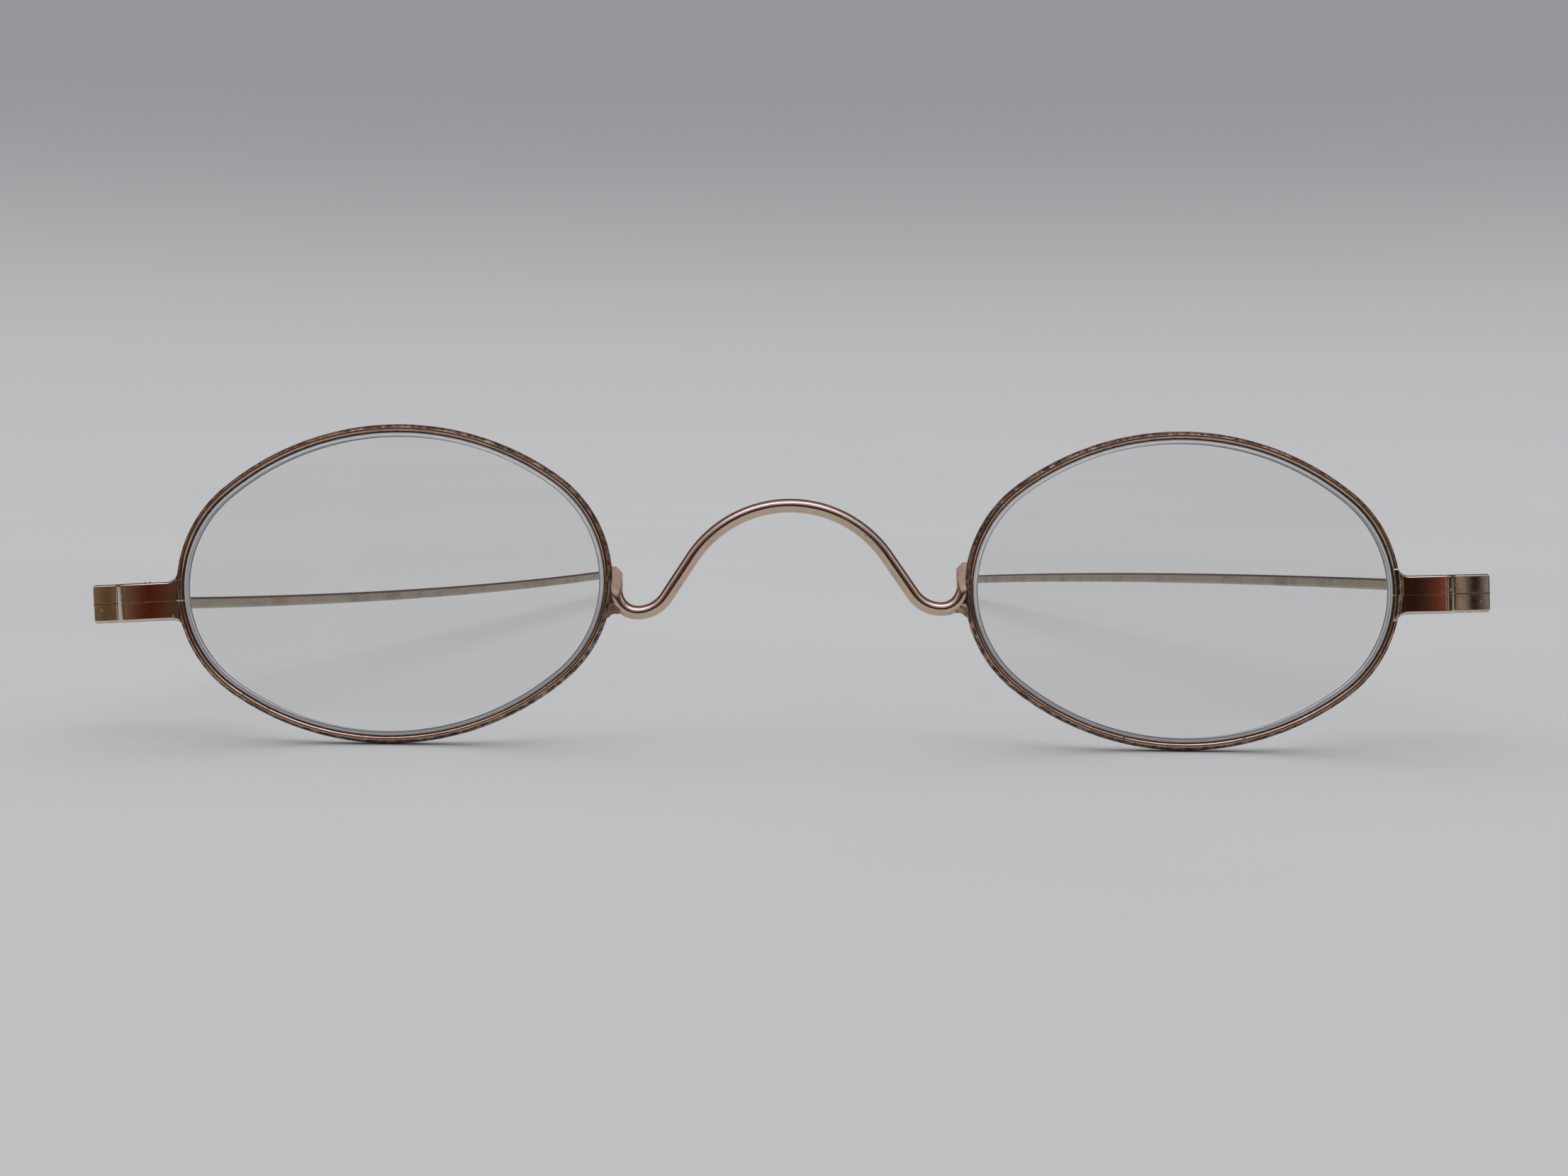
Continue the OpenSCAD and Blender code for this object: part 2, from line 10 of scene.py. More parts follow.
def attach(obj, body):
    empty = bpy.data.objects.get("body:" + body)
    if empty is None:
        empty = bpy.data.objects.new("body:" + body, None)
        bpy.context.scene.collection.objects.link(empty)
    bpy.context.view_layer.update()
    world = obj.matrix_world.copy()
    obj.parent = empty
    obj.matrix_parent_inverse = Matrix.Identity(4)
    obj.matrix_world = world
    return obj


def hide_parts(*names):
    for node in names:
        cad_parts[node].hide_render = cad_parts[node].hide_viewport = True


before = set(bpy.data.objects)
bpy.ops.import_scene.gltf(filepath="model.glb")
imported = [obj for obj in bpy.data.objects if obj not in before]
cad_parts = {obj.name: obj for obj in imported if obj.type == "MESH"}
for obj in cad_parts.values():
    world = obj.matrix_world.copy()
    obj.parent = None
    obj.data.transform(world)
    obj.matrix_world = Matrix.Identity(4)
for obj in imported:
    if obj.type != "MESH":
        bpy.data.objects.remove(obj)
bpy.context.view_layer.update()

# Camera
# It stands a little above the table and 170 mm in front of the rims, level with the bridge,
# and is tilted down by some five degrees. Places are in metres, angles in degrees.
CAMERA_PLACE = (-0.00068, -0.23996, 0.02807)
CAMERA_TILT = 84.95
CAMERA_ROLL = 0.53
CAMERA_LENS = 47.31
CAMERA_NEAR = 0.005

camera_data = bpy.data.cameras.new("camera")
camera_data.lens = CAMERA_LENS
camera_data.clip_start = CAMERA_NEAR
camera = bpy.data.objects.new("camera", camera_data)
bpy.context.scene.collection.objects.link(camera)
camera.matrix_world = (
    Matrix.Translation(CAMERA_PLACE)
    @ Matrix.Rotation(math.radians(CAMERA_TILT), 4, "X")
    @ Matrix.Rotation(math.radians(CAMERA_ROLL), 4, "Z")
)
bpy.context.scene.camera = camera
bpy.context.scene.view_settings.view_transform = "Standard"

# Studio
# A plain room: an even grey that darkens upward and a wide soft lamp above and a little behind. What
# polished wire mirrors is more varied: dark and red-brown areas in front, brown ones over them, a
# bright strip overhead, and a dim ceiling from there back. Places run from -1 to 1 sideways, and
# from 0 at the front horizon over 0.5 straight up to 1 at the back horizon.
ROOM_LIGHT = (0.46, 0.465, 0.475, 1)
BACKDROP_LOW = (0.494, 0.502, 0.51, 1)
BACKDROP_HIGH = (0.3, 0.306, 0.32, 1)
BACKDROP_TOP = 0.155
LAMP_STRENGTH = 1.95
LAMP_WIDTH = 92
LAMP_TURN = (-10, -2, 0)
EYE_LEVEL = (
    (-1.0, (0.16, 0.12, 0.085)),
    (-0.85, (0.16, 0.12, 0.085)),
    (-0.72, (0.09, 0.065, 0.055)),
    (-0.58, (0.14, 0.1, 0.065)),
    (-0.5, (0.24, 0.18, 0.11)),
    (-0.45, (0.12, 0.07, 0.03)),
    (-0.415, (0.07, 0.035, 0.016)),
    (-0.4, (0.1, 0.07, 0.04)),
    (-0.385, (0.28, 0.24, 0.18)),
    (-0.37, (0.19, 0.145, 0.08)),
    (-0.35, (0.11, 0.06, 0.028)),
    (-0.335, (0.07, 0.006, 0.001)),
    (-0.278, (0.07, 0.006, 0.001)),
    (-0.245, (0.09, 0.05, 0.028)),
    (-0.228, (0.15, 0.09, 0.06)),
    (-0.2, (0.03, 0.018, 0.014)),
    (0.31, (0.022, 0.009, 0.004)),
    (0.325, (0.07, 0.036, 0.022)),
    (0.358, (0.085, 0.042, 0.026)),
    (0.372, (0.13, 0.016, 0.004)),
    (0.392, (0.34, 0.034, 0.006)),
    (0.41, (0.16, 0.012, 0.002)),
    (0.42, (0.31, 0.27, 0.23)),
    (0.485, (0.31, 0.27, 0.23)),
    (0.52, (0.012, 0.006, 0.004)),
    (0.59, (0.012, 0.006, 0.004)),
    (0.635, (0.27, 0.245, 0.245)),
    (0.74, (0.28, 0.255, 0.28)),
    (0.8, (0.035, 0.018, 0.014)),
    (1.0, (0.05, 0.03, 0.025)),
)
OVERHEAD = (
    (0.0, (0.02, 0.012, 0.01)),
    (0.125, (0.06, 0.045, 0.045)),
    (0.165, (0.28, 0.265, 0.29)),
    (0.2, (0.6, 0.55, 0.57)),
    (0.33, (0.85, 0.84, 0.95)),
    (0.43, (0.5, 0.48, 0.58)),
    (0.5, (0.4, 0.36, 0.45)),
    (0.62, (0.24, 0.2, 0.26)),
    (0.74, (0.11, 0.08, 0.1)),
    (0.97, (0.09, 0.065, 0.07)),
    (1.0, (0.2, 0.18, 0.18)),
)
BRIGHT_STRIP = (0.31, 0.35, 0.39, 0.43)
BRIGHT_COLOUR = (2.6, 2.9, 3.6, 1)
EYE_LEVEL_TOP = (0.2, 0.34)
OVERHEAD_SIDE = (0.11, 0.075, 0.07, 1)
SIDE_SHARE = (0.18, 0.62)
SIDE_MOST = 0.62
EYE_LEVEL_DEPTH = (0.3, 0.0)
LEAST_FLAT = 0.01


def add_node(tree, kind, sockets=None, **settings):
    """A shader node with its settings made and its inputs linked or filled in."""
    made = tree.nodes.new("ShaderNode" + kind)
    for name, value in settings.items():
        setattr(made, name, value)
    for key, value in (sockets or {}).items():
        if isinstance(value, bpy.types.NodeSocket):
            tree.links.new(value, made.inputs[key])
        else:
            made.inputs[key].default_value = value
    return made


def sum_of(tree, operation, first, second=0.0, third=0.0):
    """Output of one arithmetic node on two or three numbers."""
    inputs = {0: first, 1: second, 2: third}
    return add_node(tree, "Math", inputs, operation=operation).outputs[0]


def rise(tree, value, low, high, floor=0.0, top=1.0):
    """Smooth rise from floor to top as the value goes from low to high."""
    inputs = {"Value": value, "From Min": low, "From Max": high, "To Min": floor, "To Max": top}
    return add_node(tree, "MapRange", inputs, interpolation_type="SMOOTHSTEP").outputs[0]


def blended(tree, share, first, second):
    """Colour that goes from the first to the second as the share goes from 0 to 1."""
    return add_node(tree, "Mix", {0: share, 6: first, 7: second}, data_type="RGBA").outputs[2]


def colour_stops(tree, value, stops, scale, shift):
    """Colour ramp over a value, with each stop's place scaled and shifted into the ramp's range."""
    ramp = add_node(tree, "ValToRGB", {0: value})
    made = ramp.color_ramp.elements
    for place, colour in stops[1:-1]:
        made.new(place * scale + shift).color = (*colour, 1)
    made[0].color = (*stops[0][1], 1)
    made[-1].color = (*stops[-1][1], 1)
    return ramp.outputs[0]


def studio_world():
    """Brightness by direction: height for the backdrop, and for gloss rays also the side."""
    world = bpy.data.worlds.new("studio")
    world.use_nodes = True
    tree = world.node_tree
    tree.nodes.clear()
    way = add_node(tree, "TexCoord").outputs["Generated"]
    across, depth, height = add_node(tree, "SeparateXYZ", {0: way}).outputs
    backdrop = blended(tree, rise(tree, height, 0.0, BACKDROP_TOP), BACKDROP_LOW, BACKDROP_HIGH)

    # What gloss sees: overhead by the turn over the zenith, and at eye level by the side
    flat = sum_of(tree, "SUBTRACT", 1.0, sum_of(tree, "MULTIPLY", height, height))
    flat = sum_of(tree, "SQRT", sum_of(tree, "MAXIMUM", flat, LEAST_FLAT))
    beside = sum_of(tree, "MULTIPLY_ADD", sum_of(tree, "DIVIDE", across, flat), 0.5, 0.5)
    eye_level = colour_stops(tree, beside, EYE_LEVEL, 0.5, 0.5)
    over = sum_of(tree, "ARCTAN2", height, sum_of(tree, "MULTIPLY", depth, -1.0))
    over = sum_of(tree, "DIVIDE", sum_of(tree, "MAXIMUM", over, 0.0), math.pi)
    gloss = colour_stops(tree, over, OVERHEAD, 1.0, 0.0)
    begin, full, fade, end = BRIGHT_STRIP
    strip = sum_of(tree, "MULTIPLY", rise(tree, over, begin, full), rise(tree, over, end, fade))
    gloss = blended(tree, strip, gloss, BRIGHT_COLOUR)
    aside = rise(tree, sum_of(tree, "ABSOLUTE", across), *SIDE_SHARE, 0.0, SIDE_MOST)
    gloss = blended(tree, aside, gloss, OVERHEAD_SIDE)
    low = rise(tree, height, *EYE_LEVEL_TOP, 1.0, 0.0)
    low = sum_of(tree, "MULTIPLY", low, rise(tree, depth, *EYE_LEVEL_DEPTH))
    gloss = blended(tree, low, gloss, eye_level)

    rays = add_node(tree, "LightPath").outputs
    seen = sum_of(tree, "MAXIMUM", rays["Is Camera Ray"], rays["Is Transmission Ray"])
    colour = blended(tree, seen, ROOM_LIGHT, backdrop)
    colour = blended(tree, rays["Is Glossy Ray"], colour, gloss)
    glow = add_node(tree, "Background", {"Color": colour, "Strength": 1.0})
    add_node(tree, "OutputWorld", {"Surface": glow.outputs[0]})
    return world


bpy.context.scene.world = studio_world()
lamp_data = bpy.data.lights.new("soft_lamp", "SUN")
lamp_data.energy = LAMP_STRENGTH
lamp_data.angle = math.radians(LAMP_WIDTH)
lamp = bpy.data.objects.new("soft_lamp", lamp_data)
lamp.visible_glossy = False
lamp.rotation_euler = [math.radians(turn) for turn in LAMP_TURN]
bpy.context.scene.collection.objects.link(lamp)

# Table
# A plain pale table top that reaches to the horizon, matt, with the faintest cloudiness of paper.
# It is painted a little darker far off, a painted shade where the studio light falls away. Gloss rays
# alone see it painted dark towards the front, a painted shade of the room there. Places are in metres.
TABLE_HALF = 6.0
TABLE_CORNERS = ((-1, -1), (1, -1), (1, 1), (-1, 1))
TABLE_COLOUR = (0.503, 0.505, 0.503, 1)
TABLE_CLOUD = (0.488, 0.491, 0.491, 1)
TABLE_CLOUD_SHARE = (0.3, 0.7)
TABLE_CLOUDS_PER_M = 9.0
TABLE_FAR_SHADE = (0.48, 0.487, 0.49, 1)
TABLE_FAR_SHADE_REACH = (0.3, 3.0)
TABLE_SHADE = (0.03, 0.016, 0.012, 1)
TABLE_SHADE_REACH = (-0.2, -0.27)
TABLE_FIBRES_PER_M = 260.0
TABLE_RELIEF = 0.0004
TABLE_RELIEF_SHARE = 0.1
TABLE_ROUGH = 0.75
TABLE_GLOSS = 0.15


def noise(tree, place, scale, detail, roughness=0.5):
    """Cloudy noise from 0 to 1 over a place."""
    inputs = {"Vector": place, "Scale": scale, "Detail": detail, "Roughness": roughness}
    return add_node(tree, "TexNoise", inputs).outputs[0]


def empty_material(name):
    """A new material, and its node tree with nothing in it."""
    made = bpy.data.materials.new(name)
    made.use_nodes = True
    made.node_tree.nodes.clear()
    return made, made.node_tree


def give_surface(tree, inputs):
    """The surface shader of a material, linked to its output."""
    shader = add_node(tree, "BsdfPrincipled", inputs)
    add_node(tree, "OutputMaterial", {"Surface": shader.outputs[0]})


def paper():
    """Two greys by cloudy noise, a third far off as painted shade, a painted shade at the front that
    only gloss rays see, and a fibrous relief.
    """
    made, tree = empty_material("table_paper")
    place = add_node(tree, "TexCoord").outputs["Object"]
    cloud = rise(tree, noise(tree, place, TABLE_CLOUDS_PER_M, 3.0), *TABLE_CLOUD_SHARE)
    colour = blended(tree, cloud, TABLE_COLOUR, TABLE_CLOUD)
    far = add_node(tree, "VectorMath", {0: place}, operation="LENGTH").outputs["Value"]
    # Painted shade: a little darker far off, where the studio light falls away.
    colour = blended(tree, rise(tree, far, *TABLE_FAR_SHADE_REACH), colour, TABLE_FAR_SHADE)
    # Painted shade that gloss rays alone see: the table dark towards the front.
    depth = add_node(tree, "SeparateXYZ", {0: place}).outputs[1]
    gloss = add_node(tree, "LightPath").outputs["Is Glossy Ray"]
    shade = sum_of(tree, "MULTIPLY", rise(tree, depth, *TABLE_SHADE_REACH), gloss)
    colour = blended(tree, shade, colour, TABLE_SHADE)
    fibre = noise(tree, place, TABLE_FIBRES_PER_M, 4.0)
    relief = {"Height": fibre, "Strength": TABLE_RELIEF_SHARE, "Distance": TABLE_RELIEF}
    give_surface(tree, {
        "Base Color": colour, "Roughness": TABLE_ROUGH, "Specular IOR Level": TABLE_GLOSS,
        "Normal": add_node(tree, "Bump", relief).outputs[0],
    })
    return made


table_mesh = bpy.data.meshes.new("table")
table_points = [(x * TABLE_HALF, y * TABLE_HALF, 0) for x, y in TABLE_CORNERS]
table_mesh.from_pydata(table_points, [], [(0, 1, 2, 3)])
table_mesh.materials.append(paper())
table = bpy.data.objects.new("table", table_mesh)
bpy.context.scene.collection.objects.link(table)

# Rims
# Each rim is a drawn wire of rose-gold-filled metal, rolled with a groove inside and rounded outside,
# bent into an oval of four arcs. It is open at the end piece, where a slit lets the lens go in.
# Sizes are in millimetres. Grime, darkening and painted shade run from nothing at one place to the full
# share at another.
# Next to the groove the wire is darker. Its outer flank is darker partly by grime and partly by painted
# shade, the mirrored shade of the table under the rim.
MM = 0.001
FRONT_LEAN = math.radians(4.7)
FRONT_PLACE = (-0.3105, -70.5647, 13.1467)
SIDES = {"left": -1, "right": 1}
LENS_CENTRE_U = 32.5
RIM_TURN = {"left": math.radians(2.8), "right": math.radians(-0.8)}
END_R = 9.9
END_SHIFT = 7.325
LONG_R = 21.8811
LONG_SHIFT = 9.4811
END_TURN = math.radians(52.311)
RIM_WALL = 0.75
RIM_HALF_DEPTH = 0.65
RIM_CROWN = 0.38
RIM_BEAD = 0.28
BEAD_TURN = math.radians(66)
BEAD_POINTS = 25
FLANK_SHARES = np.array([[0.08], [0.5], [0.92]])
RIM_LIP = (0.04, 0.26)
RIM_SIDE = 0.13
GROOVE_FLOOR = (0.38, 0.14)
HALF_SLIT = 0.07
JOINT_PLACE = {"left": (-53.675, -1.75), "right": (54.325, -0.05)}
STRIP_TURN = {"left": math.radians(3.2), "right": math.radians(1.8)}
RIM_STEP = 0.12
# Darker towards the groove. Over the outside, grime and painted shade together.
GROOVE_DARKENING = (0.23, 0.15, 0.95)
OUTSIDE_GRIME_AND_SHADE = (0.39, 0.49, 0.64)
NOSE_GRIME = (17.0, 17.8, 0.62)
NOSE_GRIME_HEIGHT = 13.6
NOSE_GRIME_FADE = (3.08, 0.88)
END_GRIME = (16.6, 17.8, 0.4)
CLOUDS_PER_M = 240.0
SPECKLES_PER_M = 1900.0
WAVES_PER_M = 330.0
PITS_PER_M = 1500.0
HAIR_STRETCH = (0.25, 14.0, 1.0)
TARNISH_SPAN = (0.62, 0.84)
PIT_SPAN = (0.26, 0.12)
PIT_CLOUD_SPAN = (0.48, 0.62)
GRIME_SPAN = (0.35, 0.75)
GRIME_MASK_SPAN = (0.0, 0.2)
TARNISH_FINE = 0.35
GRIME_BROKEN = 0.9
ROUGHENED_BY = {"dull": 0.26, "hair": 0.1, "dirt_and_shade": 0.5}
RAISED_BY = {"hair": 0.1, "wave": 0.3, "fine": 0.05, "dirt_and_shade": -0.05}
METAL_UNDER_DIRT = -0.85
RELIEF_DEPTH = 0.00006
METAL_IOR = 1.5


def part_way(value, start, end, full=1):
    """How far a value has gone from start to end, from 0 to the full amount."""
    return np.clip((value - start) / (end - start), 0, 1) * full


def xyz(x, y, z):
    """Points from their three coordinates."""
    return np.stack(np.broadcast_arrays(x, y, z), axis=-1)


def turned(x, y, turn):
    """Two coordinates turned about their origin, from the first axis towards the second."""
    cos, sin = math.cos(turn), math.sin(turn)
    return x * cos - y * sin, x * sin + y * cos


def lean_back(across, behind, height):
    """A point of the front plane turned back by the lean and put in its place on the table."""
    y, z = turned(behind, height, -FRONT_LEAN)
    return xyz(across, y, z) + FRONT_PLACE


def turn_on_front(points, centre, turn):
    """Points given as right, up and forward, turned about a centre of the front."""
    x, y = turned(points[..., 0], points[..., 1], turn)
    return lean_back(centre[0] + x, -points[..., 2], centre[1] + y)


def skin(name, rings, grime_and_shade, *materials, closed=False, crease=38):
    """A closed mesh through rings of points, given in millimetres, with its materials.

    Point j of ring i joins point j + 1 and ring i + 1. The end rings are filled, or joined when closed.
    The rings are reversed where their areas times their steps add up to less than nothing, so that
    faces look outward. The UV map is the length along and the length around, in millimetres.
    """
    after = np.roll(rings, -1, axis=0)
    middle = rings.mean(axis=1)
    spokes = rings - middle[:, None]
    area = np.cross(spokes, np.roll(spokes, -1, axis=1)).sum(axis=1)
    steps = np.roll(middle, -1, axis=0) - middle
    swept = ((area + np.roll(area, -1, axis=0)) * steps).sum(axis=1)
    grime_and_shade = np.broadcast_to(grime_and_shade, rings.shape[:2])
    if swept[: None if closed else -1].sum() < 0:
        rings = rings[:, ::-1]
        after = after[:, ::-1]
        grime_and_shade = grime_and_shade[:, ::-1]
    shape = rings.shape[:2]
    number = np.arange(rings[..., 0].size).reshape(shape)
    beside = np.roll(number, -1, axis=1)
    ahead = np.roll(number, -1, axis=0)
    ahead_beside = np.roll(beside, -1, axis=0)
    bands = len(rings) if closed else len(rings) - 1
    quads = np.stack([number, beside, ahead_beside, ahead], axis=-1)[:bands].reshape(-1, 4)
    faces = quads.tolist()
    along = np.concatenate([[0], np.linalg.norm(after - rings, axis=2).mean(axis=1).cumsum()])
    around = np.linalg.norm(np.roll(rings, -1, axis=1) - rings, axis=2).cumsum(axis=1)
    around = np.concatenate([np.zeros((len(rings), 1)), around], axis=1)
    around_next = np.roll(around, -1, axis=0)
    here = np.broadcast_to(along[:-1, None], shape)
    there = np.broadcast_to(along[1:, None], shape)
    corners = [here, around[:, :-1], here, around[:, 1:]]
    corners += [there, around_next[:, 1:], there, around_next[:, :-1]]
    flat = np.stack(corners, axis=-1)[:bands].reshape(-1, 2)
    if not closed:
        faces.append(number[0, ::-1].tolist())
        faces.append(number[-1].tolist())
        first_end = np.stack([here[0], around[0, :-1][::-1]], axis=-1)
        last_end = np.stack([here[-1], around[-1, :-1]], axis=-1)
        flat = np.concatenate([flat, first_end, last_end])
    mesh = bpy.data.meshes.new(name)
    mesh.from_pydata((rings.reshape(-1, 3) * MM).tolist(), [], faces)
    mesh.uv_layers.new(name="wire").data.foreach_set("uv", flat.ravel())
    grime_and_shade = grime_and_shade.astype(np.float32).ravel()
    mesh.attributes.new("grime_and_shade", "FLOAT", "POINT").data.foreach_set("value", grime_and_shade)
    mesh.shade_smooth()
    mesh.set_sharp_from_angle(angle=math.radians(crease))
    for material in materials:
        mesh.materials.append(material)
    made = bpy.data.objects.new(name, mesh)
    bpy.context.scene.collection.objects.link(made)
    return made


def rim_profile():
    """Half of the section from the groove over the front bead to the outside, and its mirror image.

    The bead is an arc about a centre behind the crown. Straight steep flanks lead from its ends to
    the inner lip and to the outer wall. Numbers are outward and forward.
    """
    turn = np.linspace(-BEAD_TURN, BEAD_TURN, BEAD_POINTS)
    across = RIM_CROWN + RIM_BEAD * np.sin(turn)
    bead = np.stack([across, RIM_HALF_DEPTH - RIM_BEAD * (1 - np.cos(turn))], axis=1)
    inner = np.array(RIM_LIP) + (bead[0] - RIM_LIP) * FLANK_SHARES
    outer = bead[-1] + (np.array([RIM_WALL, RIM_SIDE]) - bead[-1]) * FLANK_SHARES
    half = np.concatenate([[GROOVE_FLOOR, RIM_LIP], inner, bead, outer, [(RIM_WALL, RIM_SIDE)]])
    return np.concatenate([half, half[::-1] * (1, -1)])


def rim_seen_from_joint(side):
    """Centre of the rim's outer end arc, as outward and up from the joint along the end piece."""
    way, turn = SIDES[side], RIM_TURN[side]
    across = way * (LENS_CENTRE_U + END_SHIFT * math.cos(turn)) - JOINT_PLACE[side][0]
    height = way * END_SHIFT * math.sin(turn) - JOINT_PLACE[side][1]
    outward, up = turned(across, height, -STRIP_TURN[side])
    return way * outward, up


def slit_angle(side, radius, height):
    """Direction, from the centre of the rim's outer end arc, of the point at some radius that lies
    at a height above the middle line of the end piece. It is measured in the plane of the lens."""
    turn = STRIP_TURN[side]
    angle = np.arcsin((height - rim_seen_from_joint(side)[1]) / radius)
    return (turn + angle if SIDES[side] > 0 else turn + math.pi - angle) - RIM_TURN[side]


def oval_rings(side, profile):
    """The section carried once round the oval from one edge of the slit to the other.

    Every ring lies on one of five arcs: centre of the arc plus (its radius + distance outward)
    times the direction. The first and last arcs begin and end on the slit at each point's own angle.
    """
    way = SIDES[side]
    outward, forward = profile[:, 0], profile[:, 1]
    outer = 0.0 if way > 0 else math.pi
    knots = [slit_angle(side, END_R + outward, way * HALF_SLIT)]
    knots += [outer + END_TURN, outer + math.pi - END_TURN]
    knots += [outer + math.pi + END_TURN, outer + 2 * math.pi - END_TURN]
    knots += [slit_angle(side, END_R + outward, -way * HALF_SLIT) + 2 * math.pi]
    end_x, long_y = way * END_SHIFT, way * LONG_SHIFT
    centres = [(end_x, 0), (0, -long_y), (-end_x, 0), (0, long_y), (end_x, 0)]
    rings = []
    for (centre_x, centre_y), start, end in zip(centres, knots, knots[1:]):
        radius = LONG_R if centre_y else END_R
        span = float(np.mean(end) - np.mean(start))
        share = np.linspace(0, 1, int(span * radius / RIM_STEP) + 2)[:, None]
        angle = start + (end - start) * share
        x = centre_x + (radius + outward) * np.cos(angle)
        ring = xyz(x, centre_y + (radius + outward) * np.sin(angle), forward)
        rings.append(ring if not rings else ring[1:])
    return np.concatenate(rings)


def worn_gilding():
    """Old gold-filled metal. Soft-edged tarnish comes from cloudy noise, pits from small cells that
    only show where the cloud is dense, hair lines from noise drawn out along the wire, and grime and
    painted shade from the mesh's own mask, broken up by fine noise."""
    tree = bpy.data.node_groups.new("worn_gilding", "ShaderNodeTree")
    sockets = {
        "INPUT": ("Metal", "Tarnish", "Dirt And Shade", "Tarnish Amount", "Pit Amount", "Polish", "Grime And Shade"),
        "OUTPUT": ("Color", "Roughness", "Metallic", "Height"),
    }
    for direction, names in sockets.items():
        for name in names:
            kind = "Color" if name in ("Metal", "Tarnish", "Dirt And Shade", "Color") else "Float"
            tree.interface.new_socket(name, in_out=direction, socket_type="NodeSocket" + kind)
    given = tree.nodes.new("NodeGroupInput").outputs
    place = add_node(tree, "TexCoord").outputs["Object"]
    wire = add_node(tree, "UVMap", uv_map="wire").outputs[0]
    drawn = add_node(tree, "Mapping", {"Vector": wire, "Scale": HAIR_STRETCH}).outputs[0]

    cloud = noise(tree, place, CLOUDS_PER_M, 5.0, 0.62)
    fine = noise(tree, place, SPECKLES_PER_M, 4.0, 0.6)
    hair = noise(tree, drawn, 1.0, 5.0, 0.7)
    wave = noise(tree, place, WAVES_PER_M, 1.0)
    cells = add_node(tree, "TexVoronoi", {"Vector": place, "Scale": PITS_PER_M}).outputs["Distance"]

    edge = sum_of(tree, "MULTIPLY_ADD", fine, TARNISH_FINE, cloud)
    dull = sum_of(tree, "MULTIPLY", rise(tree, edge, *TARNISH_SPAN), given["Tarnish Amount"])
    pit = rise(tree, cloud, *PIT_CLOUD_SPAN)
    pit = sum_of(tree, "MULTIPLY", rise(tree, cells, *PIT_SPAN), pit)
    pit = sum_of(tree, "MULTIPLY", pit, given["Pit Amount"])
    # The mask holds real grime on most pieces, and painted shade in the end pieces' split and partly on
    # the rims' outer flanks. Both darken towards the dirt colour.
    broken = sum_of(tree, "MULTIPLY_ADD", fine, GRIME_BROKEN, -GRIME_BROKEN / 2)
    dirt_and_shade = rise(tree, sum_of(tree, "ADD", given["Grime And Shade"], broken), *GRIME_SPAN)
    dirt_and_shade = sum_of(tree, "MULTIPLY", dirt_and_shade, rise(tree, given["Grime And Shade"], *GRIME_MASK_SPAN))
    dirt_and_shade = sum_of(tree, "MAXIMUM", dirt_and_shade, pit)

    colour = blended(tree, dull, given["Metal"], given["Tarnish"])
    colour = blended(tree, dirt_and_shade, colour, given["Dirt And Shade"])
    off_middle = sum_of(tree, "SUBTRACT", hair, 0.5)
    rough = given["Polish"]
    for cause, value in (("dull", dull), ("hair", off_middle), ("dirt_and_shade", dirt_and_shade)):
        rough = sum_of(tree, "MULTIPLY_ADD", value, ROUGHENED_BY[cause], rough)
    height = 0.0
    for cause, value in (("wave", wave), ("hair", hair), ("fine", fine), ("dirt_and_shade", dirt_and_shade)):
        height = sum_of(tree, "MULTIPLY_ADD", value, RAISED_BY[cause], height)
    metal = sum_of(tree, "MULTIPLY_ADD", dirt_and_shade, METAL_UNDER_DIRT, 1.0)
    made = {"Color": colour, "Roughness": rough, "Metallic": metal, "Height": height}
    result = tree.nodes.new("NodeGroupOutput")
    for name, socket in made.items():
        tree.links.new(socket, result.inputs[name])
    return tree


GILDING = worn_gilding()


def gilt(name, metal, tarnish, dirt_and_shade, amount, pits, polish, relief=1.0):
    """A material of worn gilding in its own colours, with the relief's depth as a share."""
    made, tree = empty_material(name)
    worn = tree.nodes.new("ShaderNodeGroup")
    worn.node_tree = GILDING
    colours = {"Metal": (*metal, 1), "Tarnish": (*tarnish, 1), "Dirt And Shade": (*dirt_and_shade, 1)}
    values = {"Tarnish Amount": amount, "Pit Amount": pits, "Polish": polish}
    for key, value in {**colours, **values}.items():
        worn.inputs[key].default_value = value
    # The mesh's mask of grime and painted shade drives the darkening.
    mask = add_node(tree, "Attribute", attribute_name="grime_and_shade").outputs["Fac"]
    tree.links.new(mask, worn.inputs["Grime And Shade"])
    out = worn.outputs
    bump = {"Height": out["Height"], "Strength": relief, "Distance": RELIEF_DEPTH}
    give_surface(tree, {
        "Base Color": out["Color"], "Roughness": out["Roughness"], "Metallic": out["Metallic"],
        "Normal": add_node(tree, "Bump", bump).outputs[0], "IOR": METAL_IOR,
    })
    return made


